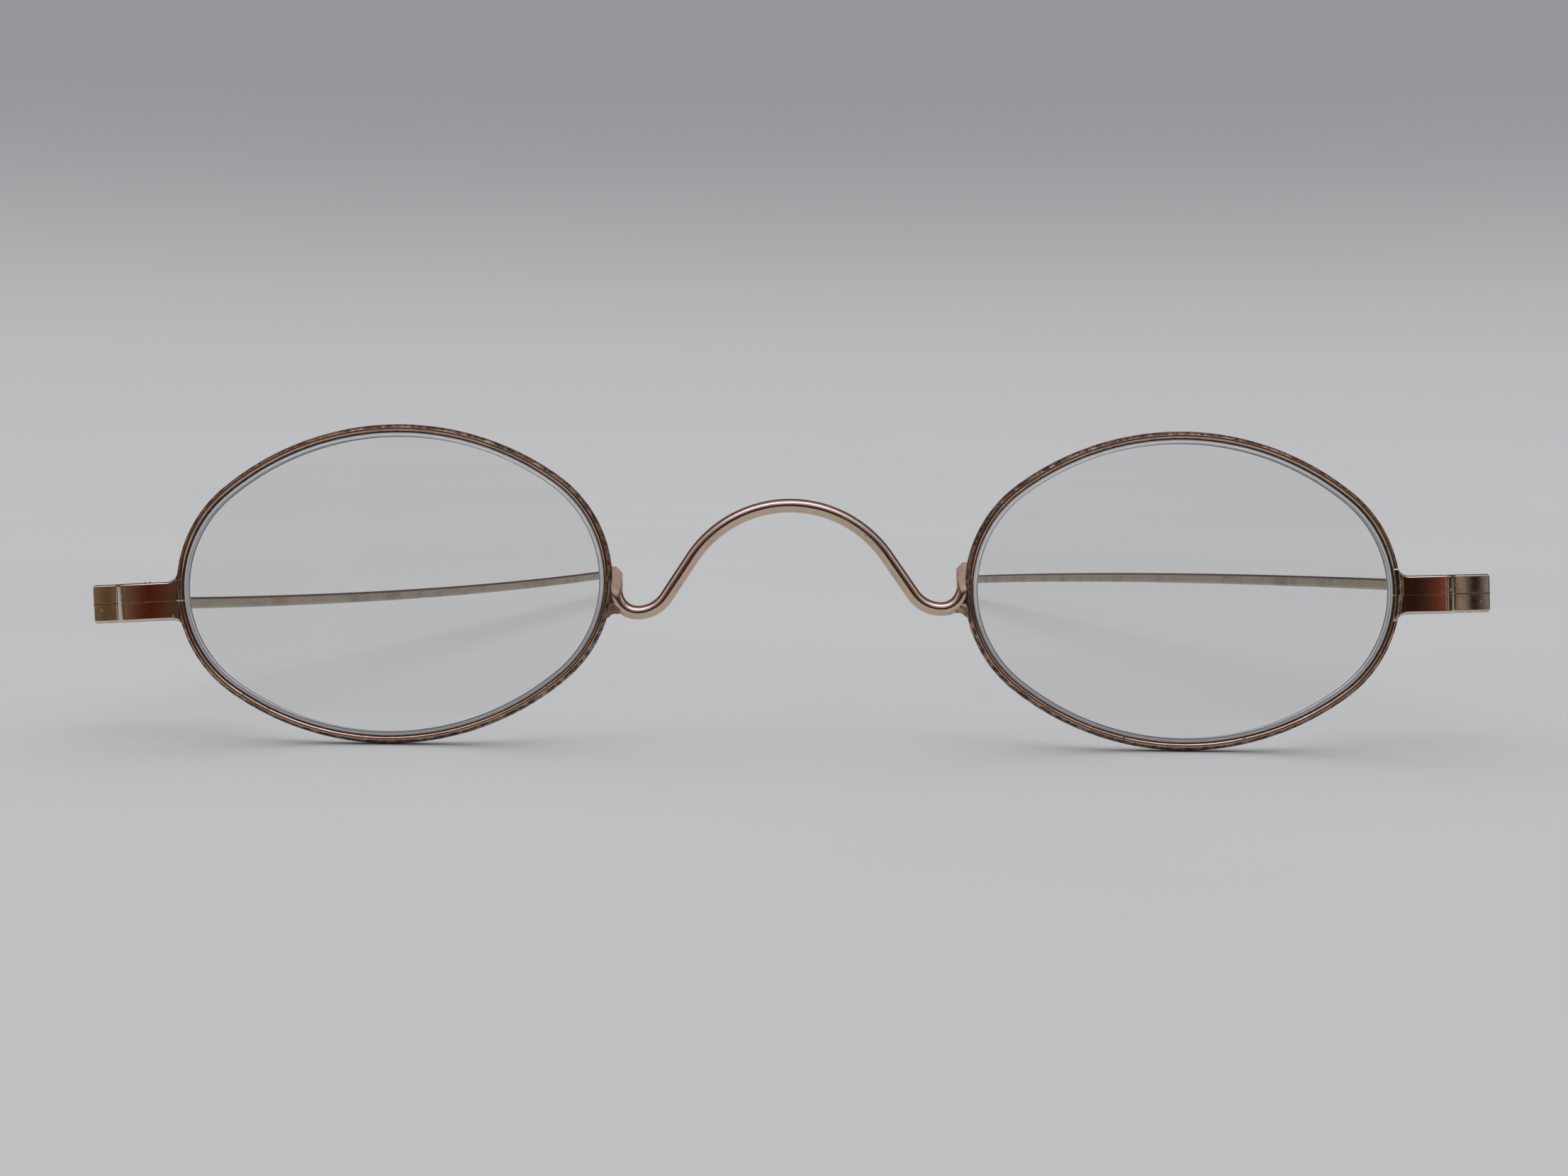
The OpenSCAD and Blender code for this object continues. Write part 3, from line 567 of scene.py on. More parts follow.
gilt_wire = gilt(
    "gilt_wire", metal=(0.68, 0.52, 0.4), tarnish=(0.4, 0.3, 0.2), dirt_and_shade=(0.05, 0.028, 0.02),
    amount=0.3, pits=0.55, polish=0.11,
)
gilt_rim = gilt(
    "gilt_rim", metal=(0.56, 0.37, 0.26), tarnish=(0.2, 0.11, 0.06), dirt_and_shade=(0.03, 0.013, 0.008),
    amount=0.4, pits=0.85, polish=0.085, relief=0.4,
)
RIM_SECTION = rim_profile()
for side in SIDES:
    rim_middle = SIDES[side] * LENS_CENTRE_U
    rim_rings = turn_on_front(oval_rings(side, RIM_SECTION), (rim_middle, 0), RIM_TURN[side])
    # Darker next to the groove. The outer flank's darkening is partly grime and partly painted shade,
    # the mirrored shade of the table under the rim.
    groove_darkening = part_way(RIM_SECTION[:, 0], *GROOVE_DARKENING)
    outside_grime_and_shade = part_way(RIM_SECTION[:, 0], *OUTSIDE_GRIME_AND_SHADE)
    inward = SIDES[side] * (rim_middle + FRONT_PLACE[0] - rim_rings[..., 0])
    off_foot = np.abs(rim_rings[..., 2] - NOSE_GRIME_HEIGHT)
    nose_dirt = part_way(inward, *NOSE_GRIME) * part_way(off_foot, *NOSE_GRIME_FADE)
    rim_grime_and_shade = np.maximum(nose_dirt, part_way(-inward, *END_GRIME))
    rim_grime_and_shade = np.maximum(rim_grime_and_shade, np.maximum(groove_darkening, outside_grime_and_shade))
    rim_wire = skin(f"{side}_rim_wire", rim_rings, rim_grime_and_shade, gilt_rim)
    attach(rim_wire, "front")
    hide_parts(f"{side}_rim")

# Lenses
# Each lens is a piece of polished crown glass, ground to a weak magnifying curve on both faces.
# Its edge is ground to a blunt bevel, which sits in the groove of the rim.
LENS_HALF = 0.9
LENS_CURVE = 700.0
LENS_HUB = 0.01
LENS_CROWDING = 0.8
BEVEL_START = -0.28
CREASE = (-0.2, 0.07)
BEVEL_END = 0.28
LENS_HALF_EDGE = 0.08
LENS_ROUND = 288
LENS_STEPS = 30
BEVEL_STEPS = 8
CROWN_IOR = 1.52
CLEAR_TINT = (0.985, 0.988, 0.99, 1)
SPECK_TINT = (0.7, 0.7, 0.68, 1)
SHADOW_TINT = (0.95, 0.96, 0.955, 1)
BEVEL_PALE = (0.96, 0.96, 0.94, 1)
BEVEL_GREY = (0.84, 0.85, 0.84, 1)
# Painted shade: a grey line along the bevel's crease.
CREASE_SHADE_GREY = (0.3, 0.31, 0.34, 1)
BEVEL_CLEAR = 0.3
SMEARS_PER_M = 90.0
SMEAR_SPAN = (0.45, 0.8)
SMEAR_ROUGH = 0.03
SPECKS_PER_M = 420.0
SPECK_SPAN = (0.035, 0.02)
GRAINS_PER_M = 900.0
GRAIN_SPAN = (0.35, 0.7)
CREASE_SHADE_SPAN = (0.4, 0.8)
GRAIN_ROUGH = (0.2, 0.25)
TINY = 1e-6


def oval_outline(outward, count):
    """Points of the oval, grown by some distance, at directions spread evenly over its four arcs."""
    angle = np.arange(count) / count * 2 * math.pi
    cos, sin = np.cos(angle), np.sin(angle)
    is_end = np.abs(cos) > math.cos(END_TURN)
    radius = np.where(is_end, END_R, LONG_R) + outward
    x = np.where(is_end, np.sign(cos) * END_SHIFT, 0) + radius * cos
    return x, np.where(is_end, 0, -np.sign(sin + TINY) * LONG_SHIFT) + radius * sin


def lens_rings():
    """Front face from its middle to the bevel, the bevel, the blunt edge, and the same behind.

    A face's height is half the thickness less the distance from the middle squared over twice its
    radius of curve. A narrow worn crease leads over to the bevel, which falls straight to the edge.
    """
    share = (np.linspace(LENS_HUB, 1, LENS_STEPS) ** LENS_CROWDING)[:, None]
    x, y = (places * share for places in oval_outline(BEVEL_START, LENS_ROUND))
    face = xyz(x, y, LENS_HALF - (x * x + y * y) / (2 * LENS_CURVE))
    crease = xyz(*oval_outline(CREASE[0], LENS_ROUND), face[-1, :, 2] - CREASE[1])
    edge = xyz(*oval_outline(BEVEL_END, LENS_ROUND), LENS_HALF_EDGE)
    fall = np.linspace(0, 1, BEVEL_STEPS)[:, None, None]
    front = np.concatenate([face, crease + (edge - crease) * fall])
    return np.concatenate([front, front[::-1] * (1, 1, -1)])


def lens_glass():
    """Clear glass: smooth faces with faint smears and a few specks."""
    made, tree = empty_material("clear_glass")
    place = add_node(tree, "TexCoord").outputs["Object"]
    smear = rise(tree, noise(tree, place, SMEARS_PER_M, 5.0), *SMEAR_SPAN)
    rough = sum_of(tree, "MULTIPLY", smear, SMEAR_ROUGH)
    cells = add_node(tree, "TexVoronoi", {"Vector": place, "Scale": SPECKS_PER_M}).outputs["Distance"]
    tint = blended(tree, rise(tree, cells, *SPECK_SPAN), CLEAR_TINT, SPECK_TINT)
    shader = add_node(
        tree, "BsdfPrincipled",
        {"Base Color": tint, "Roughness": rough, "IOR": CROWN_IOR, "Transmission Weight": 1.0},
    )
    clear = add_node(tree, "BsdfTransparent", {"Color": SHADOW_TINT})
    shade = add_node(tree, "LightPath").outputs["Is Shadow Ray"]
    choice = add_node(tree, "MixShader", {0: shade, 1: shader.outputs[0], 2: clear.outputs[0]})
    add_node(tree, "OutputMaterial", {"Surface": choice.outputs[0]})
    return made


def bevel_glass():
    """The bevel's ground glass: pale and half matt, with a painted shade of darker grey along the
    crease that the mask tells.
    """
    made, tree = empty_material("ground_glass")
    crease = add_node(tree, "Attribute", attribute_name="grime_and_shade").outputs["Fac"]
    grain = noise(tree, add_node(tree, "TexCoord").outputs["Object"], GRAINS_PER_M, 4.0)
    pale = blended(tree, rise(tree, grain, *GRAIN_SPAN), BEVEL_PALE, BEVEL_GREY)
    give_surface(tree, {
        "Base Color": blended(tree, rise(tree, crease, *CREASE_SHADE_SPAN), pale, CREASE_SHADE_GREY),
        "Roughness": sum_of(tree, "MULTIPLY_ADD", grain, *GRAIN_ROUGH),
        "IOR": CROWN_IOR, "Transmission Weight": BEVEL_CLEAR,
    })
    return made


clear_glass = lens_glass()
ground_glass = bevel_glass()
LENS_SHAPE = lens_rings()
# Painted shade: the mask marks the crease, where a grey line stands in for the dark edge that the glass
# shows there.
lens_crease_shade = np.zeros(len(LENS_SHAPE))
lens_crease_shade[LENS_STEPS - 1: LENS_STEPS + 1] = 1.0
lens_crease_shade = np.maximum(lens_crease_shade, lens_crease_shade[::-1])
lens_finish = np.zeros((len(LENS_SHAPE) - 1, LENS_ROUND), int)
lens_finish[LENS_STEPS - 1: len(LENS_SHAPE) - LENS_STEPS] = 1
lens_finish = np.concatenate([lens_finish.ravel(), [0, 0]])
for side in SIDES:
    lens_points = turn_on_front(LENS_SHAPE, (SIDES[side] * LENS_CENTRE_U, 0), RIM_TURN[side])
    glass = (clear_glass, ground_glass)
    lens = skin(f"{side}_lens_glass", lens_points, lens_crease_shade[:, None], *glass, crease=20)
    lens.data.polygons.foreach_set("material_index", lens_finish)
    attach(lens, "front")
    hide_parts(f"{side}_lens")

# Bridge
# One round wire, bent into a high hump with a valley at each side. Its ends turn up against the
# rims as two feet, filed to fit and bevelled at the top, and are soldered on. Heights of the filing
# and of the grime are over the valley's middle line.
BRIDGE_PLACE = (-0.05, 6.75)
BRIDGE_TURN = math.radians(1.2)
WIRE_R = 0.57
FOOT_X = 14.335
FOOT_BEND_R = 1.8
FLANK_LENGTH = 3.8
VALLEY_R = 2.85
CREST_TURN = math.radians(56)
CREST_SIDE = FOOT_X - FOOT_BEND_R - FLANK_LENGTH * math.cos(CREST_TURN)
CREST_R = CREST_SIDE / math.sin(CREST_TURN) - VALLEY_R
FOOT_LENGTH = 2.05
FOOT_PRESS = (0.6, 2.0)
FOOT_INSIDE = 12.0
FOOT_BACK = -0.44
FOOT_FILED = 0.69
FOOT_RUNOUT = 0.6
FOOT_GRIME = (0.12, 0.42, 0.62)
VALLEY_GRIME_HEIGHT = 0.5
VALLEY_GRIME = (1.6, 0, 0.22)
VALLEY_INSIDE = 9.0
WIRE_ROUND = 44
BRIDGE_STEP = 0.09


def arc_points(centre, start, end, radius, step):
    """Points of an arc about a centre between two directions, no further apart than step."""
    angle = np.linspace(start, end, max(3, int(abs(end - start) * radius / step) + 2))
    return np.array(centre) + radius * np.stack([np.cos(angle), np.sin(angle)], axis=1)


def bridge_line():
    """The middle line of the right half, from the crest outward, and the valley's lowest point.

    It is an arc down to the flank, the straight flank, the valley's arc, the last bend upward and
    the straight foot.
    """
    turn, quarter = CREST_TURN, math.pi / 2
    flank_top = np.array([CREST_R * math.sin(turn), -CREST_R * (1 - math.cos(turn))])
    flank_way = np.array([math.cos(turn), -math.sin(turn)])
    valley = VALLEY_R * np.array([math.sin(turn), math.cos(turn) - 1])
    low = flank_top + FLANK_LENGTH * flank_way + valley
    flank = np.linspace(0, FLANK_LENGTH, int(FLANK_LENGTH / BRIDGE_STEP))[1:, None]
    foot = np.linspace(0, FOOT_LENGTH, int(FOOT_LENGTH / BRIDGE_STEP))[1:, None]
    lengths = [
        arc_points((0, -CREST_R), quarter, quarter - turn, CREST_R, BRIDGE_STEP),
        flank_top + flank * flank_way,
        arc_points(low + (0, VALLEY_R), -quarter - turn, -quarter, VALLEY_R, BRIDGE_STEP)[1:],
        arc_points(low + (0, FOOT_BEND_R), -quarter, 0, FOOT_BEND_R, BRIDGE_STEP)[1:],
        low + (FOOT_BEND_R, FOOT_BEND_R) + foot * (0, 1),
    ]
    return np.concatenate(lengths), low


def sideways(line):
    """Unit directions at right angles to a flat line, to the left of its way."""
    way = np.gradient(line, axis=0)
    way /= np.linalg.norm(way, axis=1, keepdims=True)
    return np.stack([-way[:, 1], way[:, 0]], axis=1)


def smooth(share):
    """A share from 0 to 1 that leaves both ends slowly."""
    return share * share * (3 - 2 * share)


HALF_BRIDGE, VALLEY_LOW = bridge_line()


def bridge_rings():
    """The round section carried along the whole line, with grime in the valleys and at the rims.

    The feet are bevelled at the top and flat behind, and their front is filed back as they rise.
    """
    path = np.concatenate([HALF_BRIDGE[::-1] * (-1, 1), HALF_BRIDGE[1:]])
    angle = np.arange(WIRE_ROUND) / WIRE_ROUND * 2 * math.pi
    points = path[:, None] + sideways(path)[:, None] * (WIRE_R * np.cos(angle))[:, None]
    x, y = points[..., 0], points[..., 1]
    aside = np.abs(x)
    base = VALLEY_LOW[1] + FOOT_BEND_R
    is_foot = np.abs(np.abs(path[:, 0]) - FOOT_X) < TINY
    bevel = np.clip(aside - FOOT_X, -WIRE_R, 0) * part_way(y, base, base + FOOT_LENGTH)
    y = y + np.where(is_foot[:, None], bevel, 0)
    above = y - VALLEY_LOW[1]
    pressed = smooth(part_way(above, *FOOT_PRESS)) * (aside > FOOT_INSIDE)
    filed = FOOT_FILED * part_way(y, base - FOOT_RUNOUT, base + FOOT_LENGTH)
    z = WIRE_R * np.sin(angle)
    z = z + (np.clip(z, FOOT_BACK, WIRE_R - filed) - z) * pressed
    foot_dirt = part_way(aside - FOOT_X, *FOOT_GRIME)
    valley_dirt = part_way(np.abs(above - VALLEY_GRIME_HEIGHT), *VALLEY_GRIME)
    return xyz(x, y, z), np.maximum(foot_dirt, valley_dirt * (aside > VALLEY_INSIDE))


bridge_points, bridge_dirt = bridge_rings()
bridge_points = turn_on_front(bridge_points, BRIDGE_PLACE, BRIDGE_TURN)
bridge_wire = skin("bridge_wire", bridge_points, bridge_dirt, gilt_wire)
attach(bridge_wire, "front")
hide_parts("bridge")

# Bridge solder
# Hard solder that ran into the corner under each foot and round its sides. It has a hollow surface,
# lumpy edges, and has turned dark brown where polish never reaches.
SOLDER_HOLLOW = 1.0
SOLDER_HALF_DEPTH = 0.47
SOLDER_HALF_WIDTH = 0.52
SOLDER_SUNK = 0.02
SOLDER_SHORT = 0.25
SOLDER_TAPER = 0.28
SOLDER_FULLNESS = 0.7
SOLDER_DEEPENING = 0.35
SOLDER_LUMPS = ((0.05, 9, 3, 0), (0.04, 17, -2, 1))
SOLDER_LENGTHS = 34
SOLDER_ROUND = 28
SOLDER_GRIME = 0.38


def solder_rings(side):
    """A rounded strand that follows the hollow between the wire's last bend and the rim.

    The hollow is a circle that touches both. The strand's middle line runs just outside that circle,
    and its section is an ellipse that narrows towards the two ends, made uneven by two waves.
    """
    way = SIDES[side]
    rim_x = way * (LENS_CENTRE_U - END_SHIFT * math.cos(RIM_TURN[side])) - BRIDGE_PLACE[0]
    rim_y = -way * END_SHIFT * math.sin(RIM_TURN[side]) - BRIDGE_PLACE[1]
    rim_x, rim_y = turned(rim_x, rim_y, -BRIDGE_TURN)
    rim_centre = np.array([way * rim_x, rim_y])
    bend_centre = VALLEY_LOW + (0, FOOT_BEND_R)
    to_bend = FOOT_BEND_R + WIRE_R + SOLDER_HOLLOW
    to_rim = END_R + RIM_WALL + SOLDER_HOLLOW
    apart = np.linalg.norm(rim_centre - bend_centre)
    line = (rim_centre - bend_centre) / apart
    share = (to_bend ** 2 - to_rim ** 2 + apart ** 2) / (2 * apart)
    aside = math.sqrt(to_bend ** 2 - share ** 2)
    hollow = bend_centre + share * line + aside * np.array([line[1], -line[0]])
    to_wire = bend_centre - hollow
    to_edge = rim_centre - hollow
    start = math.atan2(to_wire[1], to_wire[0]) + SOLDER_SHORT
    end = math.atan2(to_edge[1], to_edge[0]) - SOLDER_SHORT
    angle = np.linspace(start, end, SOLDER_LENGTHS)[:, None]
    around = np.arange(SOLDER_ROUND)[None] / SOLDER_ROUND * 2 * math.pi
    taper = np.linspace(SOLDER_TAPER, math.pi - SOLDER_TAPER, SOLDER_LENGTHS)[:, None]
    middle = np.sin(taper) ** SOLDER_FULLNESS
    lumps = 1
    for height, along, across, shift in SOLDER_LUMPS:
        lumps = lumps + height * np.sin(along * angle + across * around + shift * way)
    reach = SOLDER_HALF_WIDTH * middle * (1 - np.cos(around) * lumps)
    reach = reach + SOLDER_HOLLOW + SOLDER_SUNK
    depth = SOLDER_FULLNESS + SOLDER_DEEPENING * middle
    depth = SOLDER_HALF_DEPTH * depth * np.sin(around) * lumps
    x = way * (hollow[0] + reach * np.cos(angle))
    points = xyz(x, hollow[1] + reach * np.sin(angle), depth)
    return turn_on_front(points, BRIDGE_PLACE, BRIDGE_TURN)


dark_solder = gilt(
    "dark_solder", metal=(0.5, 0.34, 0.24), tarnish=(0.24, 0.15, 0.09), dirt_and_shade=(0.04, 0.022, 0.014),
    amount=0.9, pits=0.8, polish=0.32, relief=1.6,
)
for side in SIDES:
    solder = skin(f"{side}_foot_solder", solder_rings(side), SOLDER_GRIME, dark_solder)
    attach(solder, "front")
    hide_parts(f"{side}_bridge_solder")

# End pieces
# Each end piece is two halves of a flat polished strip, brazed to the two ends of the rim.
# The strip bends back and out again to a lip, and each half carries an ear for the joint's screw.
# Places along it are outward from the screw.
STRIP_HALF_T = 0.375
STRIP_HALF_H = 1.6
SCREW_BACK = 3.55
SCREW_DEPTH = 2.9
BEND_START = {"left": 0.75, "right": -0.3}
BEND_R = 0.3
BEND_STEP = 0.06
LIP_SETBACK = 1.3
LIP_START = {"left": 2.1, "right": 1.05}
LIP_END = 3.95
LIP_CORNER = 0.25
LIP_CORNER_MOST = 0.245
LIP_FINE = 0.3
LIP_COUNTS = (16, 10)
LIP_SLOPE = {"left": 0.045, "right": 0.06}
LIP_FILED = {"left": 0.05, "right": 0.2}
STRIP_FILLET = 0.8
STRIP_EDGE = 0.14
STRIP_EDGE_MOST = 0.133
EDGE_KEPT = 0.9
STRIP_CROWN = 0.006
STRIP_BOW = {"left": 0.03, "right": 0.045}
BROKEN_EDGE = 0.15
BROKEN_SLOPE = 0.62
SPLIT_EDGE = (0.001, 0.03)
# Painted shade: the split between the halves is darkened along the lip, where shade falls into the gap.
SPLIT_SHADE = (0.04, 0, 0.9)
BRAZE_GRIME = (0.8, 0, 0.42)
TAB_HEIGHT = 0.8
TAB_REACH = {"left": 0.12, "right": 0.5}
TAB_PROUD = {"left": 0.0, "right": 0.06}
TAB_BLEND = (0.25, -0.05)
ROOT_COUNT = 60
ROOT_CROWDING = 1.4
EAR_R = 1.2
EAR_SIDE = {"left": 0.75, "right": 0.2}
EAR_FRONT = 3.17
EAR_LOW = 0.45
EAR_HIGH = 1.2
EAR_EDGE = 0.07
EAR_GRIME = 0.25
PLATE_COUNT = 121
HOLE_R = 0.48
FLAT_SHARES = np.array([0.03, 0.1, 0.5, 0.9, 0.97])
SCREW_TURN = {"left": math.radians(3.2), "right": math.radians(3.0)}


def beside_joint(points, side, turns=SCREW_TURN):
    """Points given as outward, back and up from a joint's screw, turned in the plane of the front."""
    x, z = turned(SIDES[side] * points[..., 0], points[..., 2], turns[side])
    joint_x, joint_z = JOINT_PLACE[side]
    return lean_back(joint_x + x, SCREW_DEPTH + points[..., 1], joint_z + z)


def rounding(depth, radius):
    """How far a rounded edge has fallen at some depth into its radius."""
    return radius - np.sqrt(np.maximum(radius ** 2 - depth ** 2, 0))


def soft_bar(half_a, half_b, edge, low_edge=None, count=7):
    """Offsets of a rectangle with rounded edges: corner points plus an arc of the edge's radius.

    The half sizes and the edge may be one number for each ring; the offsets are rings by points by
    two. The two lower edges may have a radius of their own. Points close to both ends of each side
    keep the shading of the sides flat.
    """
    angle = np.linspace(0, math.pi / 2, count) + np.arange(4)[:, None] * math.pi / 2
    corner_a = np.array([1, -1, -1, 1])[:, None]
    corner_b = np.array([1, 1, -1, -1])[:, None]
    sizes = (half_a, half_b, edge, edge if low_edge is None else low_edge)
    half_a, half_b, edge, low_edge = (np.reshape(size, (-1, 1, 1)) for size in sizes)
    edge = np.where(corner_b > 0, edge, low_edge)
    a = corner_a * (half_a - edge) + edge * np.cos(angle)
    b = corner_b * (half_b - edge) + edge * np.sin(angle)
    arcs = np.stack(np.broadcast_arrays(a, b), axis=-1)
    leave = arcs[:, :, -1:]
    reach = np.roll(arcs[:, :, :1], -1, axis=1)
    flats = leave + (reach - leave) * FLAT_SHARES[:, None]
    return np.concatenate([arcs, flats], axis=2).reshape(len(arcs), -1, 2)


def strip_line(side, root_x):
    """Middle line of the strip seen from above: straight through the given places, a bend back, a
    bend outward, and straight to the end of the lip, where the points crowd."""
    outer = BEND_R + 2 * STRIP_HALF_T
    middle = BEND_R + STRIP_HALF_T
    turn = math.acos((outer + BEND_R - LIP_SETBACK) / (outer + BEND_R))
    first = np.array([BEND_START[side], -SCREW_BACK + outer])
    second = first + (outer + BEND_R) * np.array([math.sin(turn), -math.cos(turn)])
    even, fine = LIP_COUNTS
    end_x = LIP_END - LIP_FINE * np.cos(np.linspace(0, math.pi / 2, fine))[1:]
    lip_x = np.concatenate([np.linspace(second[0], LIP_END - LIP_FINE, even)[1:], end_x])
    return np.concatenate([
        np.stack([root_x, np.full_like(root_x, -SCREW_BACK + STRIP_HALF_T)], axis=1),
        arc_points(first, -math.pi / 2, turn - math.pi / 2, middle, BEND_STEP)[1:],
        arc_points(second, turn + math.pi / 2, math.pi / 2, middle, BEND_STEP)[1:],
        np.stack([lip_x, np.full_like(lip_x, second[1] + middle)], axis=1),
    ])


def half_strip(side, upper):
    """Rounded bar carried along the strip's line, and its mask of grime and painted shade.

    Its upper edge flares to the rim on a hollow arc that touches both, its first ring follows the
    rim's own curve, and its last ones close in. The front is bowed, and the lip is filed off.
    """
    rim_x, rim_z = rim_seen_from_joint(side)
    rim_z = rim_z if upper else -rim_z
    rim_r = END_R + RIM_WALL
    tab_r = rim_r - TAB_REACH[side]
    rise_z = STRIP_HALF_H + STRIP_FILLET - rim_z
    hollow_x = rim_x + math.sqrt((rim_r + STRIP_FILLET) ** 2 - rise_z ** 2)
    touch_x = hollow_x + (rim_x - hollow_x) * STRIP_FILLET / (rim_r + STRIP_FILLET)
    bend_x = BEND_START[side]
    edge_x = rim_x + math.sqrt(tab_r ** 2 - (TAB_HEIGHT - rim_z) ** 2)
    root = np.linspace(0, 1, ROOT_COUNT) ** ROOT_CROWDING
    line = strip_line(side, edge_x + (bend_x - edge_x) * root)
    line_x = line[:, 0]
    on_lip = line[:, 1] > -SCREW_BACK + LIP_SETBACK

    # The section: its height by the flare and the lip's corner, its edges by the lip's end
    from_end = LIP_END - line_x
    corner = rounding(np.clip(LIP_CORNER - from_end, 0, LIP_CORNER_MOST), LIP_CORNER)
    closing = rounding(np.clip(STRIP_EDGE - from_end, 0, STRIP_EDGE_MOST), STRIP_EDGE)
    flare = rounding(np.clip(line_x, touch_x, hollow_x) - hollow_x, STRIP_FILLET)
    half_h = (STRIP_HALF_H + flare - corner * on_lip)[:, None] / 2
    half_t = STRIP_HALF_T - closing * on_lip * EDGE_KEPT
    split_edge = np.where(on_lip, SPLIT_EDGE[1], SPLIT_EDGE[0])[:, None]
    offsets = soft_bar(half_t, half_h, STRIP_EDGE * EDGE_KEPT, split_edge)
    on_front = offsets[..., 0] < 0
    x, y = np.moveaxis(line[:, None] + sideways(line)[:, None] * offsets[..., :1], -1, 0)
    z = half_h + offsets[..., 1]

    # The form along the strip
    inward = part_way(line_x, bend_x, edge_x)[:, None]
    x = x + (np.sqrt(tab_r ** 2 - (z - rim_z) ** 2) + rim_x - edge_x) * inward ** 2
    proud = part_way(line_x - touch_x, *TAB_BLEND)[:, None]
    bow = 0.5 - part_way(x, bend_x, edge_x)
    past_bend = np.clip(x - LIP_START[side], 0, None) * on_lip[:, None]
    filed = LIP_FILED[side] * (past_bend / (LIP_END - LIP_START[side])) ** 2
    broken = np.clip(offsets[..., 1] - half_h + BROKEN_EDGE, 0, None)
    y = y + (filed + BROKEN_SLOPE * broken - TAB_PROUD[side] * proud) * on_front
    y = y + STRIP_CROWN * (z / STRIP_HALF_H) ** 2 + LIP_SLOPE[side] * past_bend
    y = y + STRIP_BOW[side] * (4 * bow ** 2 - 1) * (x < bend_x)

    # Painted shade darkens the split along the lip. The braze to the rim gets real grime.
    split_shade = part_way(z - split_edge, *SPLIT_SHADE) * on_lip[:, None]
    braze_dirt = part_way(np.abs(line_x - touch_x), *BRAZE_GRIME)[:, None]
    return xyz(x, y, z if upper else -z), np.maximum(split_shade, braze_dirt)


def plate_angles(corner_y, corner_x):
    """Directions spread evenly round a circle, with those of a plate's corners among them."""
    even = np.linspace(-math.pi, math.pi, PLATE_COUNT)[:-1]
    return np.unique(np.concatenate([even, np.arctan2(corner_y, corner_x)]).round(6))


def star_plate(reach, low, high, edge, angles):
    """A flat plate round the screw's hole: at each direction its section is a bar with rounded
    edges from the hole's edge out to the reach in that direction."""
    offsets = soft_bar((reach - HOLE_R) / 2, (high - low) / 2, edge, count=5)
    out = ((reach + HOLE_R) / 2)[:, None] + offsets[..., 0]
    x = out * np.cos(angles)[:, None]
    return xyz(x, out * np.sin(angles)[:, None], (low + high) / 2 + offsets[..., 1])


def ear_rings(side, upper):
    """The ear: a round end about the screw, drawn forward as a straight tongue into the strip."""
    side_x = EAR_SIDE[side]
    angles = plate_angles([-EAR_FRONT, -EAR_FRONT, 0, 0], [-EAR_R, side_x, -EAR_R, EAR_R])
    cos, sin = np.cos(angles), np.sin(angles)
    to_side = np.where(cos > 0, side_x, EAR_R) / np.maximum(np.abs(cos), TINY)
    to_front = EAR_FRONT / np.maximum(np.abs(sin), TINY)
    reach = np.where(sin < 0, np.maximum(EAR_R, np.minimum(to_side, to_front)), EAR_R)
    plate = star_plate(reach, EAR_LOW, EAR_HIGH, EAR_EDGE, angles)
    return plate if upper else plate * (1, 1, -1)


gilt_strip = gilt(
    "gilt_strip", metal=(0.72, 0.6, 0.5), tarnish=(0.36, 0.28, 0.2), dirt_and_shade=(0.06, 0.032, 0.02),
    amount=0.3, pits=0.6, polish=0.07, relief=0.4,
)
for side in SIDES:
    for half in ("upper", "lower"):
        strip_points, strip_grime_and_shade = half_strip(side, half == "upper")
        strip_points = beside_joint(strip_points, side, STRIP_TURN)
        strip = skin(f"{side}_{half}_strip", strip_points, strip_grime_and_shade, gilt_strip)
        ear_points = beside_joint(ear_rings(side, half == "upper"), side)
        ear = skin(f"{side}_{half}_ear", ear_points, EAR_GRIME, gilt_strip, closed=True)
        for piece in (strip, ear):
            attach(piece, "front")
            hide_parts(f"{side}_end_piece_{half}")

# Joint screws
# A steel screw holds each joint and the two halves of the end piece together. It drops in from
# above, with a domed head and a worn slot, and its shank ends just below the lower ear.
SCREW_R = 0.45
HEAD_R = 0.75
HEAD_H = {"left": 0.48, "right": 0.34}
HEAD_SEAT = 0.03
HEAD_LEAST = 1e-5
HEAD_SLICES = 41
HEAD_SPREAD = 1.53
HEAD_COLUMNS = 33
SLOT_HALF = 0.1
SLOT_WALL = 0.015
SLOT_CLEAR = 0.02
SLOT_DEPTH = 0.22
SLOT_TURN = {"left": math.radians(78), "right": math.radians(-34)}
SCREW_TIP = 0.2
TIP_ROUND = 0.1
TIP_COUNT = 8
SHANK_ROUND = 40
SCREW_GRIME = 0.2


